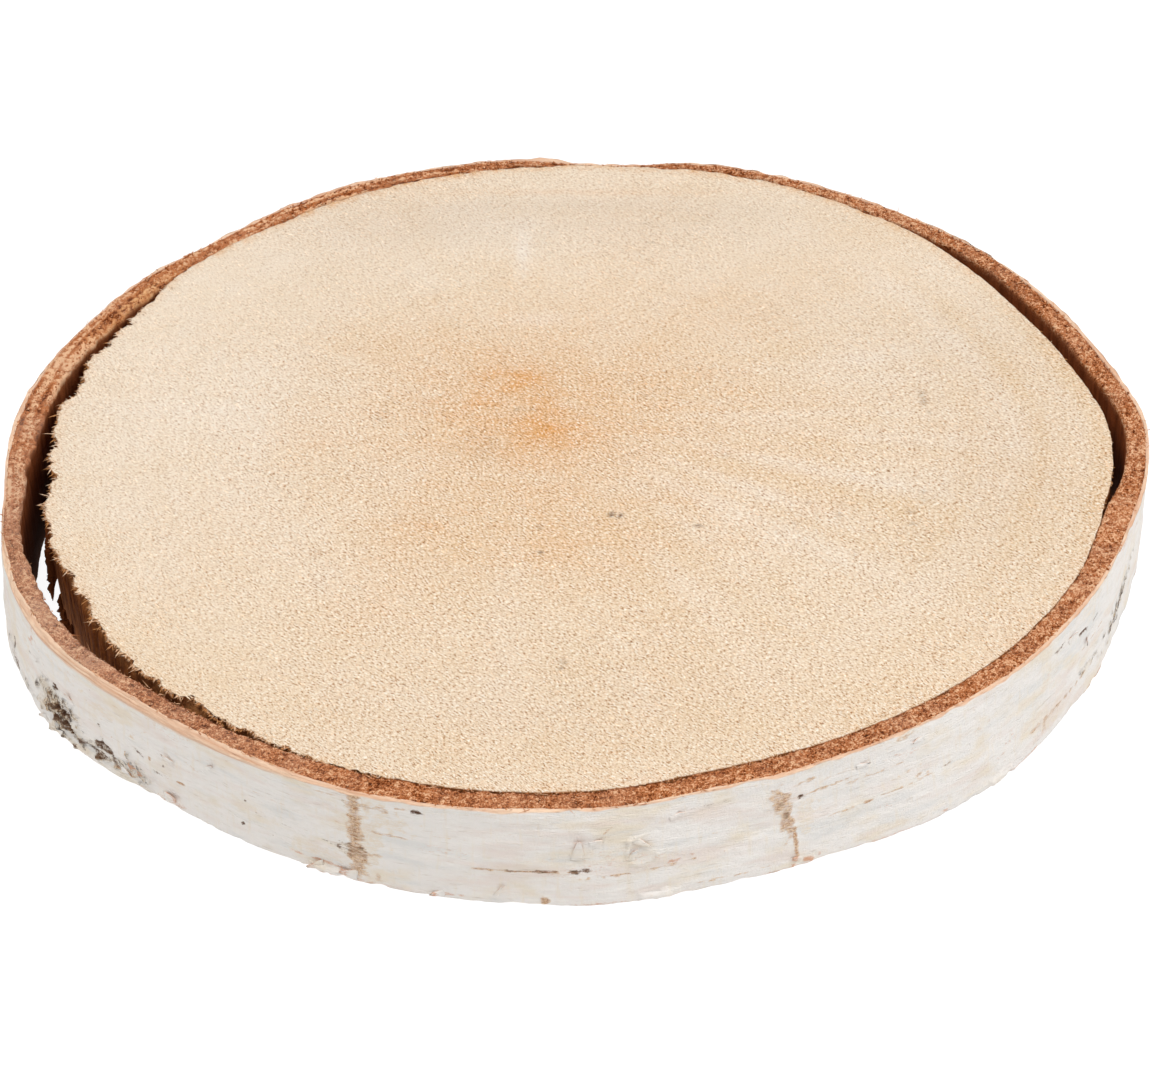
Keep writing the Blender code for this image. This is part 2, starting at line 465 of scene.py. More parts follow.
@dataclass(frozen=True)
class SawnBirch:
    """Birch sapwood, cut across the grain by a coarse saw and left dry.

    The saw tears the fibres instead of slicing them, so the face is a matt nap of short raised fibres, pale
    at their tips with a painted highlight and darker between with painted shade. Pores and rays are finer
    than the nap and hardly show. The split side, where bark came away, shows upright fibres and brown bast
    left on them.
    """

    pale: str = "#F5E7D7"
    deep: str = "#E4C294"
    warm: str = "#E3A35D"
    # hollow_shade is painted shade in the hollows between the nap's fibres; glint is a painted highlight on
    # the raised fibres.
    hollow_shade: str = "#A56B34"
    glint: str = "#FFF6E9"
    fleck: str = "#5E2F0E"
    side_pale: str = "#B8703C"
    side_dark: str = "#61300F"
    side_rim: str = "#D0925C"
    nap_lean: float = -46.0
    nap_length: float = 0.75
    nap_width: float = 0.32
    nap_depth: float = 0.4
    fibre_width: float = 0.8

    def build(self) -> Material:
        """Makes the material.

        Returns:
            The material.
        """
        dress = Dresser("birch_sapwood_rough_sawn", roughness=0.85, gloss=0.12)
        tone = dress.painted("tone")
        side = dress.painted("side")
        nap = dress.grain((self.nap_length, self.nap_width, 1.0), self.nap_lean)
        face = dress.blend(tone, self.deep, self.pale)
        face = dress.blend(dress.painted("warmth"), face, self.warm)
        speckle = dress.grain((self.nap_length * 0.5, self.nap_width * 0.6, 1.0), self.nap_lean)
        lift = dress.plus(dress.times(nap, 0.75), dress.times(speckle, 0.45))
        coarse = dress.painted("coarse")
        # Painted shade in the nap's hollows and a painted highlight on its raised fibres, both following the
        # nap's bump; the coarse value sets how strong they are.
        hollow_shade_mask = dress.stretch(dress.times(lift, -1.0), -0.6, -0.4)
        face = dress.blend(dress.times(hollow_shade_mask, coarse), face, self.hollow_shade)
        face = dress.blend(dress.times(dress.stretch(lift, 0.6, 0.78), coarse), face, self.glint)
        face = dress.blend(dress.painted("fleck"), face, self.fleck)
        upright = dress.grain((self.fibre_width, self.fibre_width, 8.0), detail=5.0)
        split = dress.blend(dress.stretch(upright, 0.25, 0.75), self.side_dark, self.side_pale)
        split = dress.blend(dress.painted("rim"), split, self.side_rim)
        colour = dress.blend(side, face, split)
        # The tip value scales brightness: random tone, and on the nap a painted shade at fibre roots and a
        # painted highlight at their tips.
        colour = dress.brighten(colour, dress.plus(dress.times(dress.painted("tip"), 0.3), 0.86))
        relief = dress.bump(nap, self.nap_depth)
        relief = dress.bump(dress.times(upright, side), 0.4, relief)
        return dress.finish(colour, relief)


@dataclass(frozen=True)
class CorkyBark:
    """Birch inner bark, sawn across and dried.

    Its stone cells and cork break out as russet grains with pits between them, so the cut is speckled light
    and dark; the colour follows the relief, with a painted highlight on raised grains and painted shade in
    the pits.
    The face that the wood came away from is smoother and darker, with upright fibres, and painted shade
    darkens it lower in the gap. A painted dark line of seam shade runs along the cut's edge towards the wood.
    """

    light: str = "#F0BF96"
    russet: str = "#BF7547"
    dark: str = "#6C3417"
    stain_and_seam_shade: str = "#5E2A0E"
    dusty: str = "#BFA28F"
    amber: str = "#E3AC76"
    wall_light: str = "#9C5730"
    wall_dark: str = "#6C371B"
    wall_shade: str = "#381A08"
    grain_size: float = 0.34
    fibre_width: float = 1.3

    def build(self) -> Material:
        """Makes the material.

        Returns:
            The material.
        """
        dress = Dresser("birch_inner_bark_sawn", roughness=0.95, gloss=0.04)
        grit = dress.painted("grit")
        wall = dress.painted("wall")
        size = (self.grain_size, self.grain_size, self.grain_size)
        fine = dress.grain(size, detail=4.0)
        coarse = dress.grain((2.2, 2.2, 2.2), detail=2.0)
        speck = dress.plus(dress.times(dress.plus(fine, -0.5), dress.painted("speck")), 0.1)
        lift = dress.plus(dress.plus(dress.times(grit, 0.5), dress.times(coarse, 0.35)), speck)
        # The grit value carries painted shade in the pits and a painted highlight on raised grains, on top of
        # the bark's own speckle.
        cut = dress.blend(dress.stretch(lift, 0.3, 0.56), self.dark, self.russet)
        cut = dress.blend(dress.stretch(lift, 0.58, 0.85), cut, self.light)
        cut = dress.blend(dress.times(dress.painted("dusty"), 0.5), cut, self.dusty)
        amber = dress.times(dress.painted("amber"), dress.stretch(lift, 0.38, 0.72))
        cut = dress.blend(amber, cut, self.amber)
        # A painted dark line along the cut's edge towards the wood: painted shade of the closed seam.
        cut = dress.blend(dress.times(dress.painted("edge"), 0.9), cut, self.stain_and_seam_shade)
        upright = dress.grain((self.fibre_width, self.fibre_width, 14.0), detail=5.0)
        face = dress.blend(dress.stretch(upright, 0.25, 0.75), self.wall_dark, self.wall_light)
        # Painted shade: the fibrous face darkens lower in the gap and more at the left.
        face = dress.blend(dress.times(dress.painted("deep"), 0.8), face, self.wall_shade)
        colour = dress.blend(wall, cut, face)
        relief = dress.bump(fine, 0.35)
        relief = dress.bump(upright, 0.2, relief)
        return dress.finish(colour, relief)


@dataclass(frozen=True)
class PaperySkin:
    """The white outer bark of birch, grown in paper-thin layers.

    Betulin powder makes it chalky white with a faint sheen. Lenticels cross it as level tan and dark
    dashes, older layers wear off in grey and cream patches, and a torn or sawn edge shows the orange
    layers under the white.
    """

    white: str = "#F1EBE5"
    cream: str = "#ECDDC6"
    rose: str = "#E8D6CB"
    cool: str = "#E4E1DD"
    line: str = "#B59B82"
    tan: str = "#B07C50"
    tan_pale: str = "#E2C6A6"
    halo: str = "#EBDDCB"
    dark: str = "#553621"
    orange: str = "#D8A688"
    grey: str = "#BA9F79"
    ridge: str = "#F0E6D9"
    fissure: str = "#432E1C"
    cut_pale: str = "#EFD0B4"
    cut_deep: str = "#D9A888"

    def build(self) -> Material:
        """Makes the material.

        Returns:
            The material.
        """
        dress = Dresser("birch_outer_bark_papery", roughness=0.6, gloss=0.3)
        cloud = dress.grain((11.0, 11.0, 5.0), detail=4.0)
        haze = dress.grain((17.0, 17.0, 3.0), lean=40.0, detail=4.0)
        streak = dress.grain((4.0, 4.0, 0.35), detail=4.0)
        rise = dress.grain((1.0, 1.0, 6.0), detail=3.0)
        dash = dress.grain((1.3, 1.3, 0.3), detail=3.0)
        fine = dress.grain((0.4, 0.4, 0.35), detail=3.0)
        colour = dress.blend(dress.times(dress.stretch(cloud, 0.48, 0.72), 0.8), self.white, self.cream)
        colour = dress.blend(dress.times(dress.stretch(haze, 0.5, 0.7), 0.55), colour, self.rose)
        clear = dress.stretch(dress.times(haze, -1.0), -0.48, -0.3)
        colour = dress.blend(dress.times(clear, 0.8), colour, self.cool)
        colour = dress.blend(dress.times(dress.stretch(rise, 0.52, 0.75), 0.35), colour, self.cream)
        colour = dress.blend(dress.times(dress.stretch(streak, 0.6, 0.76), 0.4), colour, self.line)
        crumbs = dress.times(dress.plus(dash, -0.5), 1.2)
        crumbs = dress.plus(crumbs, dress.times(dress.plus(fine, -0.5), 1.0))
        cracks = dress.grain((2.0, 0.42, 2.4), lean=212.0, detail=4.0, tip=36.0)
        worn = dress.blend(dress.stretch(fine, 0.4, 0.6), self.grey, self.ridge)
        worn = dress.blend(dress.stretch(cracks, 0.51, 0.58), worn, self.fissure)
        stain_and_seam_shade = dress.blend(dress.stretch(fine, 0.42, 0.6), self.tan, self.tan_pale)
        tints = (
            ("halo", self.halo),
            ("grey", worn),
            ("tan", stain_and_seam_shade),
            ("orange", self.orange),
            ("dark", self.dark),
        )
        for name, tint in tints:
            cover = dress.painted(name)
            shows = dress.stretch(dress.plus(cover, crumbs), 0.2, 0.95)
            shows = dress.times(shows, dress.stretch(cover, 0.02, 0.3))
            colour = dress.blend(shows, colour, tint)
        layers = dress.grain((14.0, 14.0, 0.3), detail=2.0)
        sawn = dress.blend(dress.stretch(layers, 0.25, 0.75), self.cut_pale, self.cut_deep)
        colour = dress.blend(dress.painted("cut"), colour, sawn)
        relief = dress.bump(streak, 0.25)
        relief = dress.bump(crumbs, 0.12, relief)
        relief = dress.bump(dress.times(dress.times(cracks, -1.0), dress.painted("grey")), 0.8, relief)
        return dress.finish(colour, relief)


def ring_quads(rows: int, columns: int) -> Indices:
    """The faces of a tube bent into a ring.

    Args:
        rows: Points round the tube's section, which runs up the outside and down the inside.
        columns: Sections round the trunk.

    Returns:
        Four point numbers for each face, seen from outside.
    """
    row, column = np.arange(rows)[:, None], np.arange(columns)[None, :]
    next_row, next_column = (row + 1) % rows, (column + 1) % columns
    corners = (
        row * columns + column,
        row * columns + next_column,
        next_row * columns + next_column,
        next_row * columns + column,
    )
    return np.stack(corners, axis=-1).reshape(-1, 4)


def repeated(faces: Indices, count: int, stride: int) -> Indices:
    """The faces of many like solids that follow each other, each with a stride of points of its own."""
    return ((np.arange(count) * stride)[:, None, None] + faces[None]).reshape(-1, faces.shape[1])


def make_ring(name: str, rows: list[Row], carried: tuple[str, ...]) -> Mesh:
    """Makes a closed ring round the trunk.

    Args:
        name: The mesh's name.
        rows: Each row's points and what they carry by name, up the outside and down the inside.
        carried: The names of all that the points carry, which is 0 in a row that doesn't say.

    Returns:
        The mesh, in metres.
    """
    columns = len(rows[0][0])
    values = {
        label: np.concatenate([np.broadcast_to(row.get(label, 0.0), columns) for _, row in rows])
        for label in carried
    }
    points = np.concatenate([row for row, _ in rows])
    return make_mesh(name, points, [ring_quads(len(rows), columns)], values)


def make_mesh(
    name: str, points: Floats, faces: list[Indices], values: dict[str, Floats], smooth: bool = True
) -> Mesh:
    """Makes a mesh.

    Args:
        name: The mesh's name.
        points: Its points in millimetres.
        faces: Arrays of faces, each with one number of corners.
        values: What the points carry for the finish, by name.
        smooth: True to shade it as one smooth surface, False to show its facets.

    Returns:
        The mesh, in metres.
    """
    mesh = bpy.data.meshes.new(name)
    corners = np.concatenate([face.ravel() for face in faces])
    sizes = np.concatenate([np.full(len(face), face.shape[1]) for face in faces])
    starts = np.concatenate([[0], np.cumsum(sizes)[:-1]])
    mesh.vertices.add(len(points))
    mesh.vertices.foreach_set("co", (points * MM).astype(np.float32).ravel())
    mesh.loops.add(len(corners))
    mesh.loops.foreach_set("vertex_index", corners.astype(np.int32))
    mesh.polygons.add(len(sizes))
    mesh.polygons.foreach_set("loop_start", starts.astype(np.int32))
    mesh.update(calc_edges=True)
    mesh.validate()
    if smooth:
        mesh.shade_smooth()
    else:
        mesh.shade_flat()
    for label, value in values.items():
        carried = mesh.attributes.new(label, "FLOAT", "POINT")
        carried.data.foreach_set("value", np.broadcast_to(value, len(points)).astype(np.float32))
    return mesh


def place_piece(mesh: Mesh, material: Material, slot: str, stands_for: str | None = None) -> Object:
    """Puts a finished mesh on the slice as one piece.

    Args:
        mesh: The mesh, whose name becomes the piece's name.
        material: Its finish.
        slot: The name of its material slot, which is only logged.
        stands_for: The CAD node that the piece replaces, if it does.

    Returns:
        The piece.
    """
    mesh.materials.append(material)
    piece = bpy.data.objects.new(mesh.name, mesh)
    bpy.context.scene.collection.objects.link(piece)
    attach(piece, BODY)
    if stands_for is not None:
        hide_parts(stands_for)
    triangles = sum(len(face.vertices) - 2 for face in mesh.polygons)
    LOG.info("%s: %d triangles, slot %s", piece.name, triangles, slot)
    return piece


@dataclass(frozen=True)
class Patch:
    """A soft-edged patch on the sawn face.

    Attributes:
        x: Its middle along X.
        y: Its middle along Y.
        reach: Its half width along X.
        strength: How much it changes the face.
        stretch: Its half width along Y as a share of that along X.
    """

    x: float
    y: float
    reach: float
    strength: float
    stretch: float = 1.0

    def at(self, x: Floats, y: Floats) -> Floats:
        """How much it changes each point."""
        across, up = (x - self.x) / self.reach, (y - self.y) / (self.reach * self.stretch)
        return self.strength * np.exp(-(across**2) - up**2)


WARM_PATCHES = (
    Patch(-12, 26, 6, 0.26, 0.9),
    Patch(-18.5, 22, 3.6, 0.16, 1.1),
    Patch(-5, 10.5, 6.4, 0.3, 1.1),
    Patch(-11, 5, 3.4, 0.16, 1.1),
    Patch(-9, 17, 17, 0.34, 1.2),
    Patch(-8, 4, 46, 0.09),
    Patch(-21, -7.4, 10, 0.14, 0.12),
    Patch(-20, -13.5, 11, 0.16, 0.09),
    Patch(-18, -16.9, 8, 0.14, 0.1),
    Patch(-4, -9.6, 9, 0.1, 0.12),
    Patch(9, -12.4, 12, 0.1, 0.1),
    Patch(-31, -20.5, 10, 0.12, 0.1),
    Patch(12, -27, 14, 0.08, 0.1),
    Patch(-8, -31, 12, 0.1, 0.1),
    Patch(-40, 6, 13, 0.1, 0.1),
    Patch(-36, 15.5, 12, 0.1, 0.08),
    Patch(14, 10, 13, 0.08, 0.09),
    Patch(22, 3.5, 12, 0.08, 0.09),
    Patch(-33, 40, 12, 0.09),
    Patch(-27.6, -24.5, 11, 0.12),
    Patch(-1, -25, 12, 0.19),
    Patch(-49.7, 7.8, 7, 0.08),
    Patch(-36, -46, 9, 0.07),
    Patch(29.5, 49.7, 11, 0.07),
    Patch(22, 24, 11, 0.08),
    Patch(20, -11.6, 4, 0.1),
    Patch(44, -14.8, 5, 0.09, 0.6),
    Patch(76, 4, 20, 0.03),
    Patch(0, -78, 30, 0.03),
    Patch(0, 93.6, 30, 0.14, 0.035),
)

PALE_PATCHES = (
    Patch(-74, 12, 30, 0.26, 1.3),
    Patch(-10.8, 71, 1.6, 0.3, 6),
    Patch(-7.4, 48, 5, 0.3, 0.4),
    Patch(-28, 30, 9, 0.06),
    Patch(-32, -2, 8, 0.12),
    Patch(-25, 78, 18, 0.1, 0.4),
    Patch(20, -37, 10, 0.08),
)

FLECKS = (
    Patch(-10.4, 17.1, 1.6, 0.75, 0.28),
    Patch(6, -17, 0.6, 1, 0.9),
    Patch(7.4, -17.3, 0.5, 0.9, 0.9),
    Patch(-6.9, -29.1, 0.5, 0.8, 0.9),
    Patch(-3.1, -64.5, 0.6, 0.9, 0.9),
    Patch(21.7, -20.6, 0.5, 0.9, 0.9),
    Patch(64.3, 21.2, 0.9, 0.28, 4.5),
    Patch(65, 16, 0.7, 0.25, 2),
    Patch(63.2, -10.9, 0.8, 0.45, 2.4),
    Patch(60.9, -15.7, 1.3, 0.6, 1.2),
    Patch(60, -20.7, 1.2, 0.45, 1.5),
    Patch(-2.9, -62.7, 0.7, 0.6, 0.8),
    Patch(-52.5, 64.1, 0.7, 0.4),
    Patch(41.6, -13.2, 0.7, 0.4),
    Patch(-7, -21, 0.6, 0.4),
    Patch(27, 2, 0.6, 0.3),
)


PALE_PITH = Patch(-9.8, 17.2, 2.6, 0.5)

DULL_PATCHES = (
    Patch(-28, 82, 26, 0.08, 0.35),
    Patch(-4, 89, 34, 0.05, 0.08),
    Patch(22, 84, 30, 0.06, 0.3),
    Patch(74, 42, 22, 0.05, 0.8),
    Patch(82, 0, 18, 0.05, 1.8),
    Patch(66, -27, 22, 0.02),
    Patch(40, 58, 22, 0.02),
    Patch(-50, 60, 16, 0.02),
    Patch(0, -76, 40, 0.03, 0.45),
    Patch(-18, 4, 5, 0.05),
)


@dataclass
class EndGrain:
    """The pattern of the sawn face: rings and rays round the pith, warm heart patches and a few flecks."""

    shape: SliceShape
    pith: tuple[float, float] = (-9.5, 16.7)
    petals_towards: float = -28.0
    clouds: GrainField = GrainField(240.0, 240.0, 3.0, 26.0, 16.0, 20.0, seed=3)
    mottle: GrainField = GrainField(240.0, 240.0, 1.0, 6.0, 4.0, 0.0, seed=4)
    crumble: GrainField = GrainField(240.0, 240.0, 0.4, 1.2, 0.8, -20.0, seed=7)
    rays: GrainField = GrainField(360.0, 120.0, 0.5, 3.0, 40.0, 0.0, seed=5)
    bands: GrainField = GrainField(60.0, 360.0, 0.5, 1.4, 60.0, 0.0, seed=6)

    @cached_property
    def _reach(self) -> tuple[Floats, Floats]:
        """Measures how far the wood's rim lies from the pith.

        Returns:
            Directions in degrees and the distances.
        """
        angle = np.arange(0.0, 360.0, 1.0)
        rim = polar(angle, self.shape.wood.at(angle), np.zeros_like(angle))
        x, y = rim[:, 0] - self.pith[0], rim[:, 1] - self.pith[1]
        direction = np.degrees(np.arctan2(y, x)) % 360.0
        order = np.argsort(direction)
        return direction[order], np.hypot(x, y)[order]

    def values(self, x: Floats, y: Floats) -> dict[str, Floats]:
        """Works out what each point of the sawn face carries.

        Args:
            x: Places along X.
            y: Places along Y.

        Returns:
            The tone from dark 0 to pale 1, the warmth, the fleck and the strength of the nap's painted shade
            and highlight, each from 0 to 1.
        """
        dx, dy = x - self.pith[0], y - self.pith[1]
        direction = np.degrees(np.arctan2(dy, dx)) % 360.0
        distance = np.hypot(dx, dy)
        age = distance / np.interp(direction, *self._reach, period=360.0)
        ring = self.bands.at(age * 60.0, direction)
        ray = self.rays.at(direction, age * 120.0)
        lobes = self.rays.at(direction * 0.5, 60.0 + 0.0 * age)
        heart = ease(age + 0.05 * lobes, 0.62, 0.3)
        petals = hump(direction, self.petals_towards, 38.0) * ease(age, 0.18, 0.34) * ease(age, 0.86, 0.62)
        tone = 0.5 + 0.03 * self.clouds.at(x, y) + 0.02 * self.mottle.at(x, y) - 0.07 * heart
        tone += 0.02 * ring * ease(age, 0.1, 0.5)
        tone += 0.05 * ring * hump(direction, 0.0, 40.0) * ease(age, 0.6, 0.8)
        tone += 0.015 * ray + petals * (0.01 + 0.09 * ray)
        warmth = 0.05 * heart + 0.015 * self.clouds.at(y, x)
        for patch in PALE_PATCHES:
            tone += patch.at(x, y)
        for patch in WARM_PATCHES:
            warmth += patch.at(x, y) * np.clip(1.0 + 0.22 * self.mottle.at(x * 1.7, y * 1.7), 0.2, 1.6)
        warmth *= 1.0 - PALE_PITH.at(x, y)
        rim = ease(age, 0.965, 1.0) * (0.15 + 0.35 * hump(direction, 95.0, 60.0))
        warmth += rim * np.clip(0.7 + 0.5 * self.crumble.at(x, y), 0, 1.5)
        fleck = np.zeros_like(x)
        for patch in DULL_PATCHES:
            fleck += patch.at(x, y)
        for patch in FLECKS:
            fleck = np.maximum(fleck, patch.at(x, y) * np.clip(0.55 + 0.7 * self.crumble.at(x, y), 0.0, 1.4))
        # Strength of the nap's painted shade and painted highlight, weaker towards the back and the left.
        coarse = 1.0 - 0.42 * ease(y, 15.0, 70.0) - 0.3 * ease(x, -35.0, -85.0)
        return {
            "tone": np.clip(tone + 0.16 * ease(y, 20.0, 80.0), 0, 1),
            "warmth": np.clip(warmth, 0, 1),
            "fleck": np.clip(fleck, 0, 1),
            "coarse": np.clip(coarse, 0.3, 1.0),
        }


@dataclass
class WoodDisc:
    """The sawn wood: a fine top face with a ragged rim, the split side, and the lower cut."""

    shape: SliceShape
    pattern: EndGrain
    finish: Material
    cells: int = 252
    side_rows: int = 20
    foot_cells: int = 63
    face_height: float = SLICE_THICKNESS - 0.1
    nap_relief: float = 0.03
    swell: float = 0.02
    edge_bite: float = 0.34
    undercut: float = 0.45
    split_relief: float = 0.2
    right_bulge: float = 1.6
    bark_clearance: float = 0.06
    rim_drop: float = 0.12
    foot_step: float = 0.012
    nap: GrainField = GrainField(220.0, 220.0, 0.4, 2.2, 1.1, -46.0, seed=11)
    swelling: GrainField = GrainField(240.0, 240.0, 2.0, 14.0, 9.0, 30.0, seed=12)
    teeth: GrainField = GrainField(TRUNK_ROUND, 20.0, 0.25, 1.0, 5.0, seed=13)
    scallops: GrainField = GrainField(TRUNK_ROUND, 20.0, 0.5, 3.6, 5.0, seed=15)
    splits: GrainField = GrainField(TRUNK_ROUND, 60.0, 0.3, 1.3, 22.0, seed=14)

    def ragged(self, angle: Floats) -> Floats:
        """How torn the rim is, from 0 where the bark held it to 1 where the bark pulled off it."""
        torn, back = near(angle, 196.0, 62.0, 44.0), near(angle, 98.0, 60.0, 30.0)
        return 0.14 + 0.22 * back + 0.86 * torn * (1.0 - 0.22 * back)

    def rim_bite(self, angle: Floats) -> Floats:
        """How far the rim is bitten back by torn-out fibres, less what spreads over the seam at the front.

        Args:
            angle: Angles in degrees.

        Returns:
            The depths of the bite.
        """
        place = round_the_trunk(angle)
        fine = np.clip(self.teeth.at(place, place * 0.0) + 0.3, 0.0, 2.4)
        broad = np.clip(self.scallops.at(place, place * 0.0) + 0.2, 0.0, 1.8)
        return self.ragged(angle) * self.edge_bite * (fine + 1.8 * broad) - 0.12 * closed(angle)

    def square_to_disc(self, cells: int) -> tuple[Floats, Floats, Indices, Indices]:
        """Lays a square net over the disc with even cells.

        Args:
            cells: Cells along the square's side.

        Returns:
            The shares of the radius, the angles in degrees, the faces, and the rim's points in order.
        """
        steps = np.linspace(-1.0, 1.0, cells + 1)
        a, b = (grid.ravel() for grid in np.meshgrid(steps, steps, indexing="xy"))
        flat = np.abs(a) >= np.abs(b)
        safe_a, safe_b = np.where(np.abs(a) < 1e-9, 1e-9, a), np.where(np.abs(b) < 1e-9, 1e-9, b)
        share = np.where(flat, a, b)
        turn = np.where(flat, 45.0 * b / safe_a, 90.0 - 45.0 * a / safe_b)
        angle = np.where(share < 0.0, turn + 180.0, turn) % 360.0
        row, column = np.arange(cells)[:, None], np.arange(cells)[None, :]
        first = row * (cells + 1) + column
        faces = np.stack([first, first + 1, first + cells + 2, first + cells + 1], axis=-1).reshape(-1, 4)
        edge = np.arange(cells)
        rim = np.concatenate(
            [
                edge,
                cells + edge * (cells + 1),
                (cells + 1) * cells + cells - edge,
                (cells - edge) * (cells + 1),
            ]
        )
        return np.abs(share), angle, faces, rim

    def top_face(self) -> tuple[Floats, Indices, Indices, Floats]:
        """Makes the upper cut.

        Returns:
            Its points, its faces, the point numbers round its rim and their angles.
        """
        share, angle, faces, rim = self.square_to_disc(self.cells)
        cell = 2.0 / self.cells
        share = np.where((share > 1.0 - 1.5 * cell) & (share < 1.0 - 0.5 * cell), 0.9975, share)
        whole = self.shape.wood.at(angle)
        radius = share * whole - self.rim_bite(angle) * ease(share, 0.975, 1.0)
        points = polar(angle, radius, np.zeros_like(angle))
        x, y = points[:, 0], points[:, 1]
        points[:, 2] = self.face_height + self.nap_relief * self.nap.at(x, y)
        points[:, 2] += self.swell * self.swelling.at(x, y)
        points[:, 2] -= 0.1 * self.ragged(angle) * ease(share, 0.992, 1.0)
        return points, faces, rim, angle[rim]

    def side_row(self, angle: Floats, share: float) -> Floats:
        """The points of one level row on the split side.

        Args:
            angle: Where the row's points stand.
            share: Its height as a share of the side's.

        Returns:
            The points.
        """
        level, shares = np.array(share), np.full(len(angle), share)
        torn = self.ragged(angle)
        radius = self.shape.wood.at(angle, shares) - self.rim_bite(angle) * ease(level, 0.8, 1.0)
        radius -= self.undercut * torn * ease(level, 0.995, 0.93)
        grain = self.splits.at(round_the_trunk(angle), shares * SLICE_THICKNESS)
        radius += self.split_relief * torn * np.clip(grain, -2.5, 0.8)
        radius += self.right_bulge * hump(angle, 350.0, 9.0) * ease(level, 0.85, 0.45)
        radius = np.minimum(radius, self.shape.bark_inside.at(angle, shares) - self.bark_clearance)
        return polar(angle, radius, shares * (self.face_height - self.rim_drop))

    def halve(self, ring: Indices, first: int) -> tuple[Indices, list[Indices]]:
        """Joins a ring of points to one inside it that has half as many.

        Args:
            ring: The outer ring's point numbers.
            first: The number of the inner ring's first point.

        Returns:
            The inner ring's point numbers, and the triangles between the two.
        """
        inner = first + np.arange(len(ring) // 2)
        here, between, after = (np.roll(ring, -step)[::2] for step in range(3))
        beyond = np.roll(inner, -1)
        corners = ((here, inner, between), (between, inner, beyond), (after, between, beyond))
        return inner, [np.stack(triangle, axis=-1) for triangle in corners]

    def build(self) -> Object:
        """Makes the wood as one closed mesh.

        Returns:
            The piece.
        """
        top, top_faces, rim, angle = self.top_face()
        points, rows, faces, triangles = [top], [rim], [top_faces], []
        count = len(top)
        for share in (0.992, *np.linspace(0.955, 0.0, self.side_rows - 1)):
            points.append(self.side_row(angle, share))
            rows.append(count + np.arange(len(rim)))
            count += len(rim)
        for upper, lower in zip(rows[:-1], rows[1:]):
            faces.append(np.stack([upper, lower, np.roll(lower, -1), np.roll(upper, -1)], axis=-1))
        side_end = count
        foot, edge, share = rows[-1], points[-1], 1.0
        while len(foot) > 4 * self.foot_cells:
            share -= self.foot_step
            edge = edge[::2]
            points.append(edge * np.array([share, share, 0.0]))
            foot, joined = self.halve(foot, count)
            triangles.extend(joined)
            count += len(foot)
        net_share, net_angle, net_faces, net_rim = self.square_to_disc(self.foot_cells)
        rim_radius = self.shape.wood.at(net_angle, 0.0) * share
        net = polar(net_angle, net_share * rim_radius, np.zeros_like(net_angle))
        order = np.full(len(net), -1)
        order[net_rim] = foot
        inside = order < 0
        order[inside] = count + np.arange(inside.sum())
        points.append(net[inside])
        faces.append(order[net_faces][:, ::-1])
        everything = np.concatenate(points)
        number = np.arange(len(everything))
        values = self.pattern.values(everything[:, 0], everything[:, 1])
        values["side"] = np.where((number >= len(top)) & (number < side_end), 1.0, 0.0)
        values["rim"] = self.rim_paleness(everything)
        values["tip"] = np.full(len(everything), 0.42)
        mesh = make_mesh("sawn_wood", everything, faces + triangles, values)
        return place_piece(mesh, self.finish, "sawn_wood", "wood_disc")

    def rim_paleness(self, points: Floats) -> Floats:
        """How pale the split side is at each point: torn wood under the rim, then brown bast below it.

        Args:
            points: The points.

        Returns:
            The paleness from 0 to 1.
        """
        angle = np.degrees(np.arctan2(points[:, 1], points[:, 0])) % 360.0
        depth = SLICE_THICKNESS - points[:, 2] + 0.8 * self.splits.at(round_the_trunk(angle), points[:, 2])
        return ease(depth, 4.5, 0.5) * (0.3 + 0.7 * self.ragged(angle))


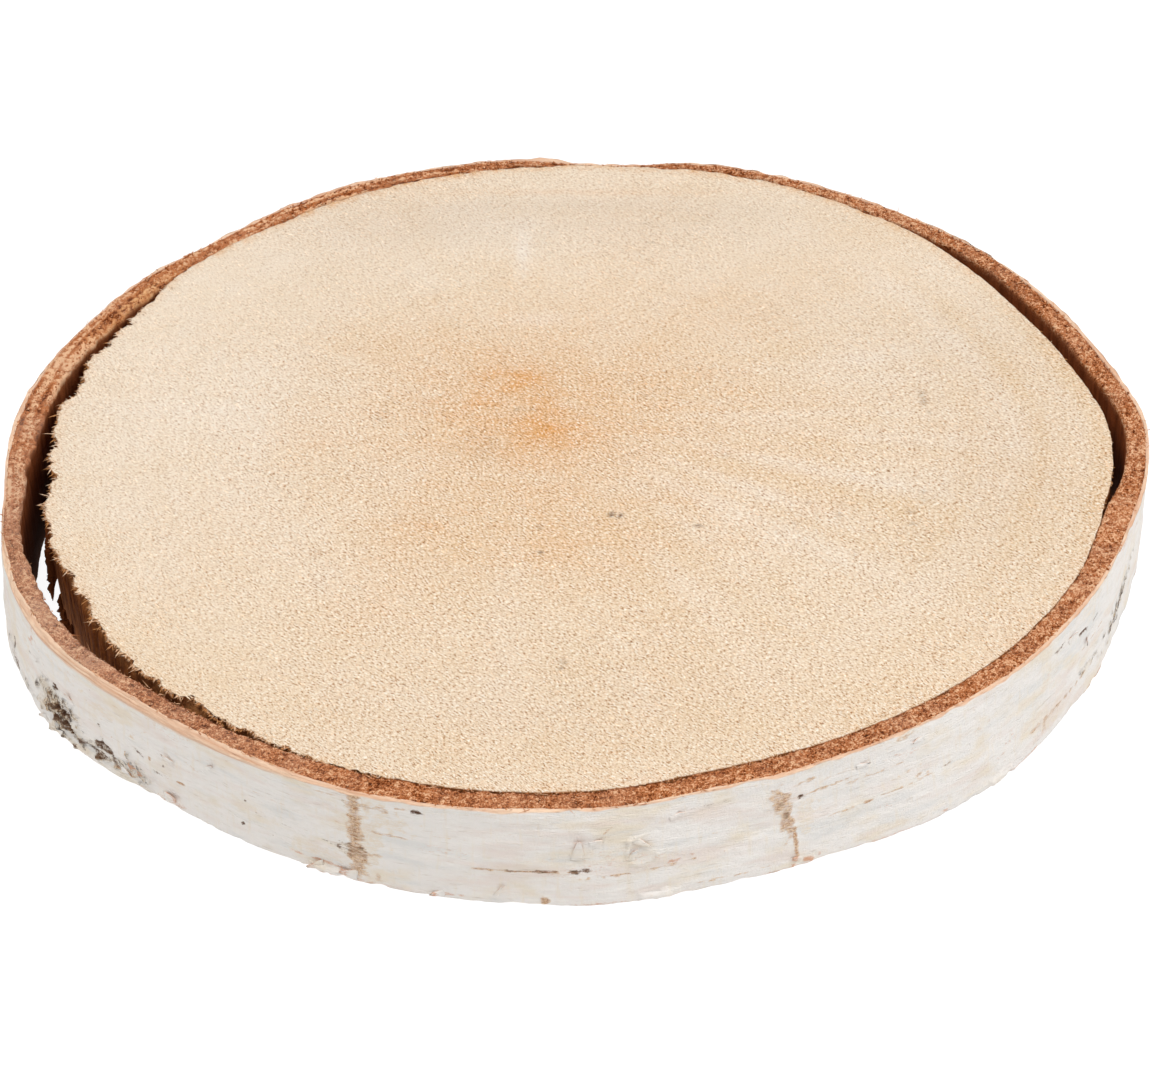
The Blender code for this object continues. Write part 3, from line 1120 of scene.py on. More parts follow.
@dataclass
class WoodNap:
    """Short fibres that the saw raised all over the upper cut, leaning the way the blade went."""

    shape: SliceShape
    pattern: EndGrain
    finish: Material
    spacing: float = 0.8
    lean: float = 150.0
    length: float = 0.8
    width: float = 0.27
    lift: float = 0.12
    root_depth: float = 0.12
    surface: float = SLICE_THICKNESS - 0.1
    drift: GrainField = GrainField(240.0, 240.0, 2.0, 12.0, 12.0, seed=21)
    seed: int = 22

    def build(self) -> Object:
        """Makes every fibre as a slim closed wedge, rooted in the face.

        Returns:
            The piece.
        """
        rng = np.random.default_rng(self.seed)
        half = math.ceil(112.0 / self.spacing)
        grid = np.arange(-half, half + 1) * self.spacing
        x, y = (axis.ravel() for axis in np.meshgrid(grid, grid))
        x, y = (axis + rng.uniform(-0.5, 0.5, len(axis)) * self.spacing for axis in (x, y))
        angle, radius = np.degrees(np.arctan2(y, x)), np.hypot(x, y)
        inside = radius < self.shape.wood.at(angle) - 0.4 - 0.4 * (1.0 - closed(angle))
        x, y = x[inside], y[inside]
        count = len(x)
        turn = np.radians(self.lean + rng.normal(0.0, 12.0, count) + 4.0 * self.drift.at(x, y))
        size = rng.lognormal(0.0, 0.32, count)
        along = np.stack([np.cos(turn), np.sin(turn)], axis=-1)
        across = np.stack([-along[:, 1], along[:, 0]], axis=-1)
        root = np.stack([x, y], axis=-1)
        length = (self.length * size)[:, None]
        width = (self.width * np.sqrt(size))[:, None]
        height = np.clip(self.lift * size * rng.uniform(0.3, 1.4, count), 0.04, 0.35)
        corners = (
            (root - along * length * 0.5, -self.root_depth),
            (root + across * width * 0.5, -0.02),
            (root - across * width * 0.5, -0.02),
            (root + along * length * 0.5, height),
        )
        points = np.empty((count, 4, 3))
        for corner, (flat, rise) in enumerate(corners):
            points[:, corner, :2] = flat
            points[:, corner, 2] = self.surface + rise
        points = points.reshape(-1, 3)
        wedge = np.array([[0, 1, 2], [0, 3, 1], [0, 2, 3], [1, 3, 2]])
        faces = repeated(wedge, count, 4)
        values = self.pattern.values(points[:, 0], points[:, 1])
        shade = np.clip(rng.normal(0.6, 0.3, count), 0.0, 1.3)[:, None]
        # Each fibre's brightness differs at random; its buried root end is darker, a painted shade, and its
        # raised tip paler, a painted highlight.
        values["tip"] = (shade + np.array([-0.2, 0.0, 0.0, 0.4])[None]).ravel()
        values["side"] = np.zeros(len(points))
        values["rim"] = np.ones(len(points))
        mesh = make_mesh("raised_nap", points, [faces], values, smooth=False)
        return place_piece(mesh, self.finish, "sawn_wood")


@dataclass
class TornFringe:
    """Longer fibres that hang out over the gap from the wood's torn rim."""

    disc: WoodDisc
    pattern: EndGrain
    finish: Material
    count: int = 2000
    sides: int = 4
    joints: int = 3
    length: float = 0.75
    thickness: float = 0.27
    long_fibres: tuple[tuple[float, float, float, float, float], ...] = (
        (174.5, 3.2, -12.0, 0.3, 0.2),
        (183.0, 1.9, -4.0, 0.3, 0.2),
        (176.5, 1.8, 20.0, 0.3, 0.2),
        (200.5, 2.4, 35.0, 0.3, 0.2),
        (209.5, 2.6, 40.0, 0.35, 0.2),
        (205.0, 1.7, -25.0, 0.3, 0.2),
        (216.0, 2.2, 30.0, 0.3, 0.2),
        (222.0, 1.6, 35.0, 0.3, 0.2),
        (163.0, 1.5, 0.0, 0.3, 0.2),
        (154.0, 1.3, 15.0, 0.3, 0.2),
        (212.5, 2.0, 62.0, 0.8, 0.8),
        (218.5, 2.4, 66.0, 0.9, 0.9),
        (224.5, 2.2, 70.0, 0.9, 0.7),
        (227.2, 2.6, 74.0, 0.9, 1.2),
        (229.6, 2.4, 78.0, 0.8, 0.6),
        (231.4, 2.2, 80.0, 0.9, 1.1),
        (233.6, 2.0, -80.0, 0.7, 0.6),
        (236.2, 2.2, 82.0, 0.6, 0.9),
        (239.8, 1.8, 80.0, 0.5, 0.5),
        (244.4, 1.8, 84.0, 0.4, 0.5),
        (249.5, 1.6, 84.0, 0.4, 0.4),
    )
    seed: int = 31

    def fibre(self, start: Floats, heading: Floats, length: Floats, sag: Floats, girth: Floats) -> Floats:
        """The points of tapering fibres.

        Args:
            start: Where each fibre leaves the wood.
            heading: Its direction in degrees.
            length: Its length.
            sag: How far its tip falls.
            girth: Its thickness at the root.

        Returns:
            The points, fibre by fibre: the root ring, the middle rings and the tip.
        """
        turn = np.radians(heading)
        ahead = np.stack([np.cos(turn), np.sin(turn), np.zeros_like(turn)], axis=-1)
        beside = np.stack([-ahead[:, 1], ahead[:, 0], ahead[:, 2]], axis=-1)
        rings = []
        for joint in range(self.joints):
            share = joint / self.joints
            centre = start + ahead * (length * (share - 0.15))[:, None]
            centre[:, 2] -= sag * share**2
            size = (girth * (1.0 - 0.6 * share))[:, None]
            for side in range(self.sides):
                spin = math.tau * side / self.sides
                up = np.array([0.0, 0.0, math.sin(spin)])
                rings.append(centre + size * (beside * math.cos(spin) + up) * 0.5)
        tip = start + ahead * (length * 0.85)[:, None]
        tip[:, 2] -= sag
        return np.stack([*rings, tip], axis=1)

    def build(self) -> Object:
        """Makes all the fibres as one piece of closed slivers.

        Returns:
            The piece.
        """
        rng = np.random.default_rng(self.seed)
        angle = rng.uniform(0.0, 360.0, self.count * 3)
        angle = angle[rng.uniform(0.0, 1.0, len(angle)) < self.disc.ragged(angle) * 0.9][: self.count]
        torn = self.disc.ragged(angle)
        length = self.length * rng.lognormal(-0.1, 0.5, len(angle)) * (0.35 + 0.65 * torn)
        heading = angle + rng.normal(0.0, 38.0, len(angle))
        sag = length * rng.uniform(-0.05, 0.5, len(angle))
        girth = self.thickness * rng.uniform(0.7, 1.5, len(angle))
        special = np.array(self.long_fibres)
        angle = np.concatenate([angle, special[:, 0]])
        length = np.concatenate([length, special[:, 1]])
        heading = np.concatenate([heading, special[:, 0] + special[:, 2]])
        sag = np.concatenate([sag, special[:, 1] * 0.15])
        girth = np.concatenate([girth, special[:, 3]])
        radius = self.disc.shape.wood.at(angle) - self.disc.rim_bite(angle)
        drop = rng.uniform(0.15, 0.7, len(angle))
        drop[-len(special) :] = special[:, 4]
        start = polar(angle, radius, self.disc.face_height - drop)
        points = self.fibre(start, heading, length, sag, girth)
        stride = points.shape[1]
        faces = []
        for joint in range(self.joints - 1):
            for side in range(self.sides):
                after = (side + 1) % self.sides
                low, high = joint * self.sides, (joint + 1) * self.sides
                faces.append((low + side, low + after, high + after))
                faces.append((low + side, high + after, high + side))
        last = (self.joints - 1) * self.sides
        for side in range(self.sides):
            faces.append((last + side, last + (side + 1) % self.sides, stride - 1))
        faces.extend(((0, 2, 1), (0, 3, 2)))
        net = repeated(np.array(faces), len(points), stride)
        flat = points.reshape(-1, 3)
        values = self.pattern.values(flat[:, 0], flat[:, 1])
        values["tip"] = np.repeat(np.clip(rng.normal(0.65, 0.2, len(points)), 0.0, 1.0), stride)
        # Fibres that start lower take more of the split side's brown: partly the side's own colour, partly
        # painted shade deeper in the gap.
        values["side"] = np.repeat(0.35 + 0.65 * ease(drop, 0.2, 0.5), stride)
        values["rim"] = np.ones(len(flat))
        mesh = make_mesh("torn_fringe", flat, [net], values)
        return place_piece(mesh, self.finish, "sawn_wood")


@dataclass
class InnerBark:
    """The russet layer: a granular sawn top and a fibrous face towards the wood."""

    shape: SliceShape
    finish: Material
    columns: int = 2400
    top_rows: int = 14
    wall_rows: int = 22
    grit_relief: float = 0.1
    pit_depth: float = 0.2
    seam_cover: float = 0.17
    layered_part: tuple[float, float, float] = (146.0, 54.0, 36.0)
    grit: GrainField = GrainField(TRUNK_ROUND, 30.0, 0.15, 0.5, 0.4, seed=41)
    pits: GrainField = GrainField(TRUNK_ROUND, 30.0, 0.15, 0.7, 0.5, seed=42)
    lumps: GrainField = GrainField(TRUNK_ROUND, 30.0, 0.5, 4.0, 2.5, seed=43)
    fibres: GrainField = GrainField(TRUNK_ROUND, 60.0, 0.3, 0.9, 16.0, seed=44)
    streaks: GrainField = GrainField(TRUNK_ROUND, 30.0, 0.25, 13.0, 0.5, seed=45)

    def covered_rows(self, angle: Floats) -> list[Row]:
        """The rows up the outside, which the white skin covers.

        Args:
            angle: The ring's angles.

        Returns:
            The rows.
        """
        top = self.shape.bark_inside.top(angle)
        rows = []
        for share in (0.0, 1.0 / 3.0, 2.0 / 3.0):
            radius = self.shape.seam.at(angle, np.full_like(angle, share))
            rows.append((polar(angle, radius, share * (top - 0.25)), {"grit": 0.5}))
        return rows

    def cut_rows(self, angle: Floats) -> list[Row]:
        """The rows over the sawn top, from the white skin to the gap: grains, pits and streaked layers.

        Args:
            angle: The ring's angles.

        Returns:
            The rows.
        """
        place = round_the_trunk(angle)
        top = self.shape.bark_inside.top(angle)
        inner = self.inner_edge(angle)
        outer = self.shape.cut_edge(angle)
        layered = near(angle, *self.layered_part)
        bright = 0.04 + 0.2 * hump(angle, 340.0, 44.0) + 0.24 * hump(angle, 62.0, 16.0)
        bright += 0.2 * hump(angle, 150.0, 24.0) + 0.14 * hump(angle, 204.0, 22.0)
        seam_shading = self.seam_shading(angle)
        rows = []
        for step in range(self.top_rows + 1):
            share = step / self.top_rows
            level = np.array(share)
            depth = share * (outer - inner)
            grain = self.grit.at(place, depth)
            pit = ease(self.pits.at(place, depth), 0.9, 2.0)
            rise = self.grit_relief * grain - self.pit_depth * pit + 0.1 * self.lumps.at(place, depth)
            rounding = (0.35 - 0.22 * closed(angle)) * ease(level, 0.86, 1.0) + 0.1 * ease(level, 0.12, 0.0)
            ragged = self.uneven(angle) * self.lumps.at(place * 2.3, depth + 9.0) * ease(level, 0.6, 1.0)
            height = np.minimum(top - 0.22 + rise - rounding, SLICE_THICKNESS + 0.2)
            streak = layered * np.clip(self.streaks.at(place, depth), -1.8, 1.8)
            # Grit follows the relief: paler on raised grains, a painted highlight, and darker in the pits, a
            # painted shade; streaks and brighter stretches round the ring are added to it.
            grit = 0.5 + bright + 0.05 * layered + 0.18 * grain - (0.34 - 0.26 * layered) * pit + 0.3 * streak
            # edge carries the painted seam shade; amber is the bark's own colour.
            values = {
                "grit": np.clip(grit, 0.0, 1.3),
                "edge": seam_shading * ease(depth, outer - inner - 0.45, outer - inner - 0.1),
                "amber": 0.75 * hump(angle, 148.0, 7.0) * ease(level, 0.3, 0.6),
            }
            rows.append((polar(angle, outer + (inner - outer) * share + ragged, height), values))
        return rows

    def gap_rows(self, angle: Floats) -> list[Row]:
        """The rows down the fibrous face that the wood came away from.

        Args:
            angle: The ring's angles.

        Returns:
            The rows.
        """
        place = round_the_trunk(angle)
        top = self.shape.bark_inside.top(angle)
        inner = self.inner_edge(angle)
        ragged = self.uneven(angle) * self.lumps.at(place * 2.3, self.shape.cut_edge(angle) - inner + 9.0)
        rows = []
        for step in range(1, self.wall_rows + 1):
            share = 1.0 - step / self.wall_rows
            level, shares = np.array(share), np.full_like(angle, share)
            fibre = self.fibres.at(place, shares * SLICE_THICKNESS)
            radius = self.shape.bark_inside.at(angle, shares) + 0.03 * np.clip(fibre, -2.0, 2.0)
            radius += ragged * ease(level, 0.85, 1.0)
            height = share * (top - 0.57)
            wall = ease(level, 1.0, 0.93)
            # deep is painted shade, darker lower in the gap and at the left; edge carries the painted seam
            # shade at the top.
            values = {
                "grit": 0.5,
                "wall": wall,
                "deep": wall * (ease(height, 17.0, 2.0) + 0.35 * hump(angle, 186.0, 34.0)),
                "edge": self.seam_shading(angle) * ease(level, 0.94, 0.96),
            }
            rows.append((polar(angle, radius, height), values))
        return rows

    def inner_edge(self, angle: Floats) -> Floats:
        """The radius of the cut's edge towards the wood, drawn in where no gap shows."""
        return self.shape.bark_inside.at(angle) - self.seam_cover * closed(angle)

    def uneven(self, angle: Floats) -> Floats:
        """How far the edge towards the gap wanders, least on the right."""
        return 0.16 - 0.12 * near(angle, 20.0, 75.0, 45.0)

    def seam_shading(self, angle: Floats) -> Floats:
        """How dark the line along the edge towards the wood is, most at the front."""
        # The line is painted shade of the seam between bark and wood.
        return 0.25 + 0.75 * near(angle, 246.0, 52.0, 24.0)

    def build(self) -> Object:
        """Makes the ring as one closed mesh.

        Returns:
            The piece.
        """
        angle = np.arange(self.columns) * 360.0 / self.columns
        rows = self.covered_rows(angle) + self.cut_rows(angle) + self.gap_rows(angle)
        everywhere = {
            "dusty": self.dustiness(angle),
            "speck": 1.5 - 0.9 * near(angle, *self.layered_part),
        }
        rows = [(points, {**everywhere, **values}) for points, values in rows]
        carried = ("grit", "wall", "dusty", "deep", "speck", "edge", "amber")
        mesh = make_ring("russet_bark", rows, carried)
        return place_piece(mesh, self.finish, "inner_bark", "inner_bark")

    def dustiness(self, angle: Floats) -> Floats:
        """How much grey dust lies on the cut, most at the left."""
        lumps = self.lumps.at(round_the_trunk(angle), 0.0 * angle)
        return np.clip(0.12 + 0.7 * hump(angle, 205.0, 28.0) + 0.1 * lumps, 0.0, 1.0)


@dataclass
class BarkCrumbs:
    """Loose-looking grains of stone cells and cork on the sawn top of the inner bark."""

    shape: SliceShape
    finish: Material
    count: int = 9000
    size: float = 0.28
    seed: int = 51

    def build(self) -> Object:
        """Makes the grains as small closed eight-sided lumps, half sunk in the bark.

        Returns:
            The piece.
        """
        rng = np.random.default_rng(self.seed)
        angle = rng.uniform(0.0, 360.0, self.count)
        inner = self.shape.bark_inside.at(angle) + 0.2
        outer = self.shape.cut_edge(angle)
        radius = inner + (outer - inner) * rng.uniform(0.0, 1.0, self.count)
        centre = polar(angle, radius, self.shape.bark_inside.top(angle) - 0.18)
        ways = np.array([[1, 0, 0], [0, 1, 0], [-1, 0, 0], [0, -1, 0], [0, 0, 1], [0, 0, -1]], float)
        spin = rng.uniform(0.0, math.tau, self.count)
        turned = np.empty((self.count, 6, 3))
        turned[:, :, 0] = ways[:, 0] * np.cos(spin)[:, None] - ways[:, 1] * np.sin(spin)[:, None]
        turned[:, :, 1] = ways[:, 0] * np.sin(spin)[:, None] + ways[:, 1] * np.cos(spin)[:, None]
        turned[:, :, 2] = ways[:, 2]
        reach = self.size * 0.5 * rng.lognormal(0.0, 0.35, self.count)[:, None]
        reach = reach * rng.uniform(0.6, 1.4, (self.count, 6))
        points = (centre[:, None, :] + turned * reach[:, :, None]).reshape(-1, 3)
        points[:, 2] = np.minimum(points[:, 2], SLICE_THICKNESS + 0.25)
        octahedron = np.array(
            [[0, 1, 4], [1, 2, 4], [2, 3, 4], [3, 0, 4], [1, 0, 5], [2, 1, 5], [3, 2, 5], [0, 3, 5]]
        )
        faces = repeated(octahedron, self.count, 6)
        calm = hump(angle, 172.0, 36.0)
        grit = 0.62 + 0.1 * calm + (0.25 - 0.15 * calm) * rng.normal(0.0, 1.0, self.count)
        grit = np.repeat(np.clip(grit, 0.0, 1.0), 6)
        dusty = np.repeat(0.7 * hump(angle, 205.0, 28.0), 6)
        values = {"grit": grit, "dusty": dusty, "speck": np.full(len(points), 0.8)}
        mesh = make_mesh("bark_grit", points, [faces], values, smooth=False)
        return place_piece(mesh, self.finish, "inner_bark")


class Tint(Enum):
    """What a mark on the white skin shows."""

    TAN = "tan"
    DARK = "dark"
    ORANGE = "orange"
    GREY = "grey"
    HALO = "halo"


@dataclass(frozen=True)
class SkinMark:
    """One mark on the white skin, such as a lenticel, a stain, a scar or a worn patch.

    Attributes:
        angle: Where it lies round the trunk.
        height: How far up it lies.
        length: Its length round the trunk.
        width: Its width up the trunk.
        tint: What it shows.
        strength: How strongly it shows, from 0 to 1.
        lean: How far it leans from level, up towards larger angles.
        relief: How far it stands proud, or is sunk if it is negative.
        broken: How broken its outline is.
    """

    angle: float
    height: float
    length: float
    width: float
    tint: Tint
    strength: float = 1.0
    lean: float = 0.0
    relief: float = 0.0
    broken: float = 0.5


def marks_in(*rows: tuple[float | Tint, ...]) -> tuple[SkinMark, ...]:
    """Marks from rows of their values, in the order of a mark's attributes, some without the last ones."""
    return tuple(SkinMark(*row) for row in rows)


TAN, DARK, ORANGE, GREY, HALO = Tint.TAN, Tint.DARK, Tint.ORANGE, Tint.GREY, Tint.HALO

SCAR_MARKS = marks_in(
    (212.7, 6.2, 11, 7.5, GREY, 0.9, -40, 0.25, 0.9),
    (213.4, 6.6, 9, 1.5, DARK, 0.8, -56, -0.4, 1.7),
    (214.2, 3.8, 5.6, 1.9, DARK, 0.8, -60, -0.4, 1.6),
    (212.8, 4.8, 4, 1.1, DARK, 0.8, -40, -0.4, 1.4),
    (211.2, 7.4, 6, 2.8, TAN, 0.45, -50, 0, 1.2),
    (217.6, 3, 7, 1.1, DARK, 0.7, -8, -0.2, 1.3),
    (219.4, 4.4, 6, 2.4, DARK, 0.6, -30, -0.2, 1.5),
    (210, 7.4, 6.5, 5.5, GREY, 0.6, -54, 0.15, 1),
    (214.6, 3.6, 7, 4, GREY, 0.75, -30, 0.15, 1),
    (209.9, 5.2, 3.6, 3, HALO, 0.8, 0, 0.4, 0.6),
    (211.6, 2.2, 4.4, 3.4, HALO, 0.9, 0, 0.6, 0.7),
    (215.8, 1.4, 7, 2.2, HALO, 0.9, 0, 0.4, 0.8),
    (212.1, 8, 4.6, 0.7, DARK, 0.85, -56, -0.4, 1),
    (212.8, 6.4, 4.6, 0.8, DARK, 0.9, -58, -0.5, 1),
    (213.5, 5, 4, 0.9, DARK, 0.9, -52, -0.5, 1),
    (213.7, 7.6, 4.4, 0.6, DARK, 0.7, -60, -0.3, 1),
    (214.4, 3.2, 4.2, 1, DARK, 0.9, -66, -0.5, 1),
    (210.9, 9, 3.6, 0.5, DARK, 0.55, -50, -0.2, 1),
    (209.2, 8.4, 3, 0.5, DARK, 0.5, -60, 0, 1),
    (211.4, 6.4, 3.6, 0.5, DARK, 0.6, -60, 0, 1),
    (215.6, 3, 3.4, 0.8, DARK, 0.8, -12, -0.2, 1),
    (217, 3.4, 3, 0.6, DARK, 0.7, -6, -0.2, 1),
    (220.6, 3.4, 13, 4.6, GREY, 0.7, 0, 0.15, 1.1),
    (223, 3.8, 7, 4, GREY, 0.45, -10, 0.1, 1.1),
    (218.4, 5, 3.2, 0.9, DARK, 0.85, 80, -0.3, 0.9),
    (219.6, 4.6, 3, 0.8, DARK, 0.8, -40, -0.3, 0.9),
    (218.9, 3, 4, 0.7, DARK, 0.7, -20, -0.2, 1),
    (220.4, 2.6, 3, 0.6, DARK, 0.6, -30, 0, 1),
    (220.8, 5.6, 5, 0.5, TAN, 0.9, -60, 0, 1),
    (222, 5.2, 5, 0.5, TAN, 0.9, -65, 0, 1),
    (222.9, 4, 4, 0.8, ORANGE, 0.9, -20, 0, 1),
    (221.6, 2, 8, 0.9, TAN, 0.85, -4, 0, 1),
    (224, 8, 2.6, 0.6, DARK, 0.6, -30, 0, 1),
    (225.1, 8.2, 1.3, 2.2, TAN, 0.9, 0, 0, 0.9),
    (225.6, 6.2, 4, 0.5, DARK, 0.55, -14, 0, 1),
    (228.2, 6, 5, 0.6, TAN, 0.9, 4, 0, 0.9),
    (200.4, 6.8, 1.8, 2.4, DARK, 0.75, 0, -0.2, 0.8),
    (200.8, 1.8, 2.4, 3.2, DARK, 0.65, 80, -0.2, 0.9),
    (199.6, 5, 4, 4.5, GREY, 0.5, 0, 0.25, 0.9),
    (204.6, 3, 5, 2.5, GREY, 0.5, 0, 0.3, 0.9),
    (201.4, 13, 11, 2.6, HALO, 0.5, 92, 0, 1),
    (205, 12, 12, 3.4, HALO, 0.5, 88, 0, 1),
    (207.2, 17, 6, 1.6, ORANGE, 0.6, 60, 0, 1),
    (208.6, 15, 5, 0.5, TAN, 0.6, -50, 0, 1),
    (213, 15.4, 9, 2.4, HALO, 0.55, -10, 0, 1),
    (218.4, 13, 10, 2.4, HALO, 0.6, -14, 0, 1),
)

BAND_MARKS = marks_in(
    (249.6, 10, 23, 9.5, HALO, 0.7, 90, 0, 0.7),
    (252.6, 14, 9, 6, HALO, 0.6, 0, 0, 0.8),
    (245.4, 4.4, 12, 5, HALO, 0.5, 0, 0, 0.9),
    (254.9, 17.8, 3, 0.9, DARK, 0.9, 0, -0.15, 1),
    (253.4, 18.1, 3.4, 0.5, TAN, 0.8, 0, 0, 0.7),
    (265.3, 7.2, 24, 0.55, TAN, 0.95, 0, 0, 0.6),
    (266.4, 7.2, 9, 0.5, DARK, 0.6, 0, 0, 1.1),
    (263.5, 7.2, 2, 0.6, DARK, 0.55, 0, 0, 1),
    (269.8, 7.3, 5, 1, DARK, 0.65, 0, 0, 1.4),
    (270.6, 9.6, 3, 0.6, ORANGE, 0.5, 30, 0, 0.8),
    (275.2, 6.2, 18, 0.45, TAN, 0.8, 3, 0, 1.3),
    (279.6, 7.4, 4, 0.5, ORANGE, 0.6, 8, 0, 1),
    (248.9, 10.4, 40, 3.6, TAN, 0.8, 90, 0.14, 0.4),
    (248.7, 16.6, 7, 3.6, TAN, 0.6, 88, 0, 0.6),
    (248.5, 7.6, 5, 5.6, DARK, 0.4, 70, 0, 1),
    (290, 13.8, 7.5, 4.4, TAN, 0.75, 100, 0.1, 0.6),
    (290.6, 9.8, 8, 3, TAN, 0.75, 102, 0.1, 0.6),
    (291.5, 5.4, 9, 1.2, TAN, 0.85, 98, 0.1, 0.7),
    (290.4, 11.6, 6, 1.2, DARK, 0.45, 104, 0, 1),
    (292.2, 14.4, 1.5, 1.5, DARK, 0.8, 0, -0.2),
    (292.6, 10, 8, 5, HALO, 0.6, 90, 0, 0.8),
    (292.2, 17, 8, 0.9, TAN, 0.6, 6, 0, 0.8),
    (292.8, 0.9, 4, 1.3, ORANGE, 0.9, 0, 0.2, 0.8),
    (248.6, 15, 10, 2.2, TAN, 0.75, 84, 0, 0.8),
    (249.2, 5.6, 8, 3, TAN, 0.75, 95, 0, 0.8),
    (248.9, 12, 9, 0.6, DARK, 0.35, 88, 0, 1.1),
    (248.8, 6.8, 4, 1.6, DARK, 0.4, 10, 0, 1.1),
    (247.9, 16.6, 4, 0.6, DARK, 0.35, 100, 0, 1.1),
    (251.8, 11.8, 10, 0.6, TAN, 0.8, -3),
    (247, 12.4, 6, 0.4, TAN, 0.6, -3),
    (251, 17.2, 7, 1.4, TAN, 0.5, 0, 0, 0.9),
    (246.2, 18.2, 5, 0.6, TAN, 0.5),
    (250.6, 6.9, 5, 0.9, TAN, 0.6, 8),
    (245.6, 7.3, 10, 0.4, DARK, 0.45, -4),
    (247.2, 7, 1.4, 0.8, DARK, 0.7),
    (250, 1.6, 5, 2.2, TAN, 0.5, 0, 0, 1),
    (295, 14.6, 15, 0.5, TAN, 0.75, 2),
    (301, 13.9, 12, 0.5, TAN, 0.7, 2, 0, 0.9),
    (298.5, 14, 4, 1.2, TAN, 0.5, 10, 0, 1.1),
    (302, 9, 26, 0.5, TAN, 0.75, 3, 0, 0.8),
    (305.6, 10.2, 5, 0.9, TAN, 0.7, 6, 0, 1),
    (301.7, 9, 4, 0.6, DARK, 0.4, 3),
    (309.4, 9.8, 3, 0.6, DARK, 0.4, 3),
)

LENTICELS = marks_in(
    (275.7, 6.2, 19, 0.4, TAN, 0.5, 2, 0, 1),
    (266.9, 1.2, 2.2, 2, TAN, 0.8, 0, 0.2, 0.8),
    (272.5, 15.2, 3, 0.7, TAN, 0.7, 45),
    (285, 1.6, 18, 0.4, TAN, 0.7),
    (304.3, 11.6, 8, 0.4, TAN, 0.6, 8),
    (304.3, 19, 4, 1.6, TAN, 0.6),
    (206.2, 11.5, 1.6, 0.7, DARK, 0.6),
    (218.2, 9.3, 1.2, 0.7, DARK, 0.5),
    (218.8, 11.3, 1.4, 0.6, TAN, 0.6),
    (221, 16, 2.2, 1, TAN, 0.5),
    (226.8, 8.3, 0.7, 0.7, DARK, 0.9),
    (236.4, 4, 0.9, 0.9, DARK, 0.8),
    (236.9, 9.5, 0.9, 0.6, DARK, 0.6),
    (239.9, 4, 0.9, 0.6, DARK, 0.5),
    (226.8, 0.9, 12, 1.2, ORANGE, 0.55, 0, 0.2),
    (245.2, 1.9, 10, 0.8, ORANGE, 0.75, -2, -0.1),
    (303, 2, 5, 1.6, HALO, 0.6, 0, 0, 1),
    (258.2, 0.8, 5, 0.8, ORANGE, 0.55),
    (308.4, 0.8, 3, 0.8, ORANGE, 0.5),
    (328, 16.2, 7, 0.7, DARK, 0.6, 4),
    (333.2, 14.3, 5, 0.7, DARK, 0.85, -8, -0.15),
    (336.2, 14.3, 3.4, 0.6, DARK, 0.6, 18),
    (335.2, 10.4, 17, 0.4, TAN, 0.6, 4),
    (328.4, 4.4, 23, 0.8, TAN, 0.65, 0, 0, 1.2),
    (330.6, 4.6, 10, 0.6, DARK, 0.3, 0, 0, 1.5),
    (334.4, 5.2, 6, 1.2, GREY, 0.6, 0, 0, 1.3),
    (324.6, 3, 1.8, 2.8, TAN, 0.5, 0, 0, 1),
    (326.4, 2.4, 5, 1.6, HALO, 0.8, 0, 0, 0.9),
    (344.2, 7.4, 18, 4.4, GREY, 0.85, 10, 0, 1.2),
    (344.8, 8, 6, 1.1, DARK, 0.75, 14, 0, 1.4),
    (342.2, 6, 5, 0.9, DARK, 0.65, 6, 0, 1.3),
    (348.8, 7.8, 6, 1, DARK, 0.65, 10, 0, 1.3),
    (346.4, 10.6, 5, 0.6, DARK, 0.5, 20, 0, 1.3),
    (346.2, 19, 5, 1.6, ORANGE, 0.5),
    (352.8, 15, 3, 0.8, TAN, 0.5),
    (275.4, 13.2, 5, 0.7, HALO, 0.4, 12, 0.3),
    (274.5, 10.6, 5.5, 0.8, HALO, 0.4, 80, 0.35),
    (275.6, 8, 5, 0.7, HALO, 0.4, -12, 0.3),
    (277.4, 9, 3, 0.6, HALO, 0.4, 60, 0.25),
    (245.6, 0.6, 9, 1.6, TAN, 0.2, 0, 0.9),
    (277.5, 0.7, 7, 1.6, TAN, 0.2, 0, 0.5),
    (317, 0.7, 8, 1.8, TAN, 0.2, 0, 0.6),
    (232, 14.5, 9, 0.4, TAN, 0.35, 25, 0, 1.1),
    (230, 12, 8, 0.4, TAN, 0.35, -20, 0, 1.1),
    (224, 13, 7, 0.5, TAN, 0.35, 35, 0, 1.1),
    (217, 14.6, 6, 0.5, DARK, 0.3, 70, 0, 1.1),
    (215, 17, 6, 0.5, TAN, 0.4, 10, 0, 1.1),
    (240.6, 12.4, 12, 0.35, TAN, 0.45, -2),
    (240, 7.6, 15, 0.35, DARK, 0.35, -2),
    (257.5, 13, 8, 0.3, TAN, 0.4),
    (263, 15, 7, 0.3, TAN, 0.35),
    (268.5, 13.1, 6, 0.4, TAN, 0.4, 3),
    (283, 17, 7, 0.5, DARK, 0.35, 2, 0, 1),
    (283.5, 11, 9, 0.3, TAN, 0.35),
    (297.5, 16.6, 9, 0.6, TAN, 0.4, 6, 0, 1.1),
    (313, 13, 9, 0.5, TAN, 0.4, 6, 0, 1.1),
    (318, 6, 8, 2.6, ORANGE, 0.25, 30, 0, 1.1),
    (311, 4, 7, 2, ORANGE, 0.2, 20, 0, 1.1),
    (325, 12, 5, 2.2, ORANGE, 0.25, 50, 0, 1.1),
)


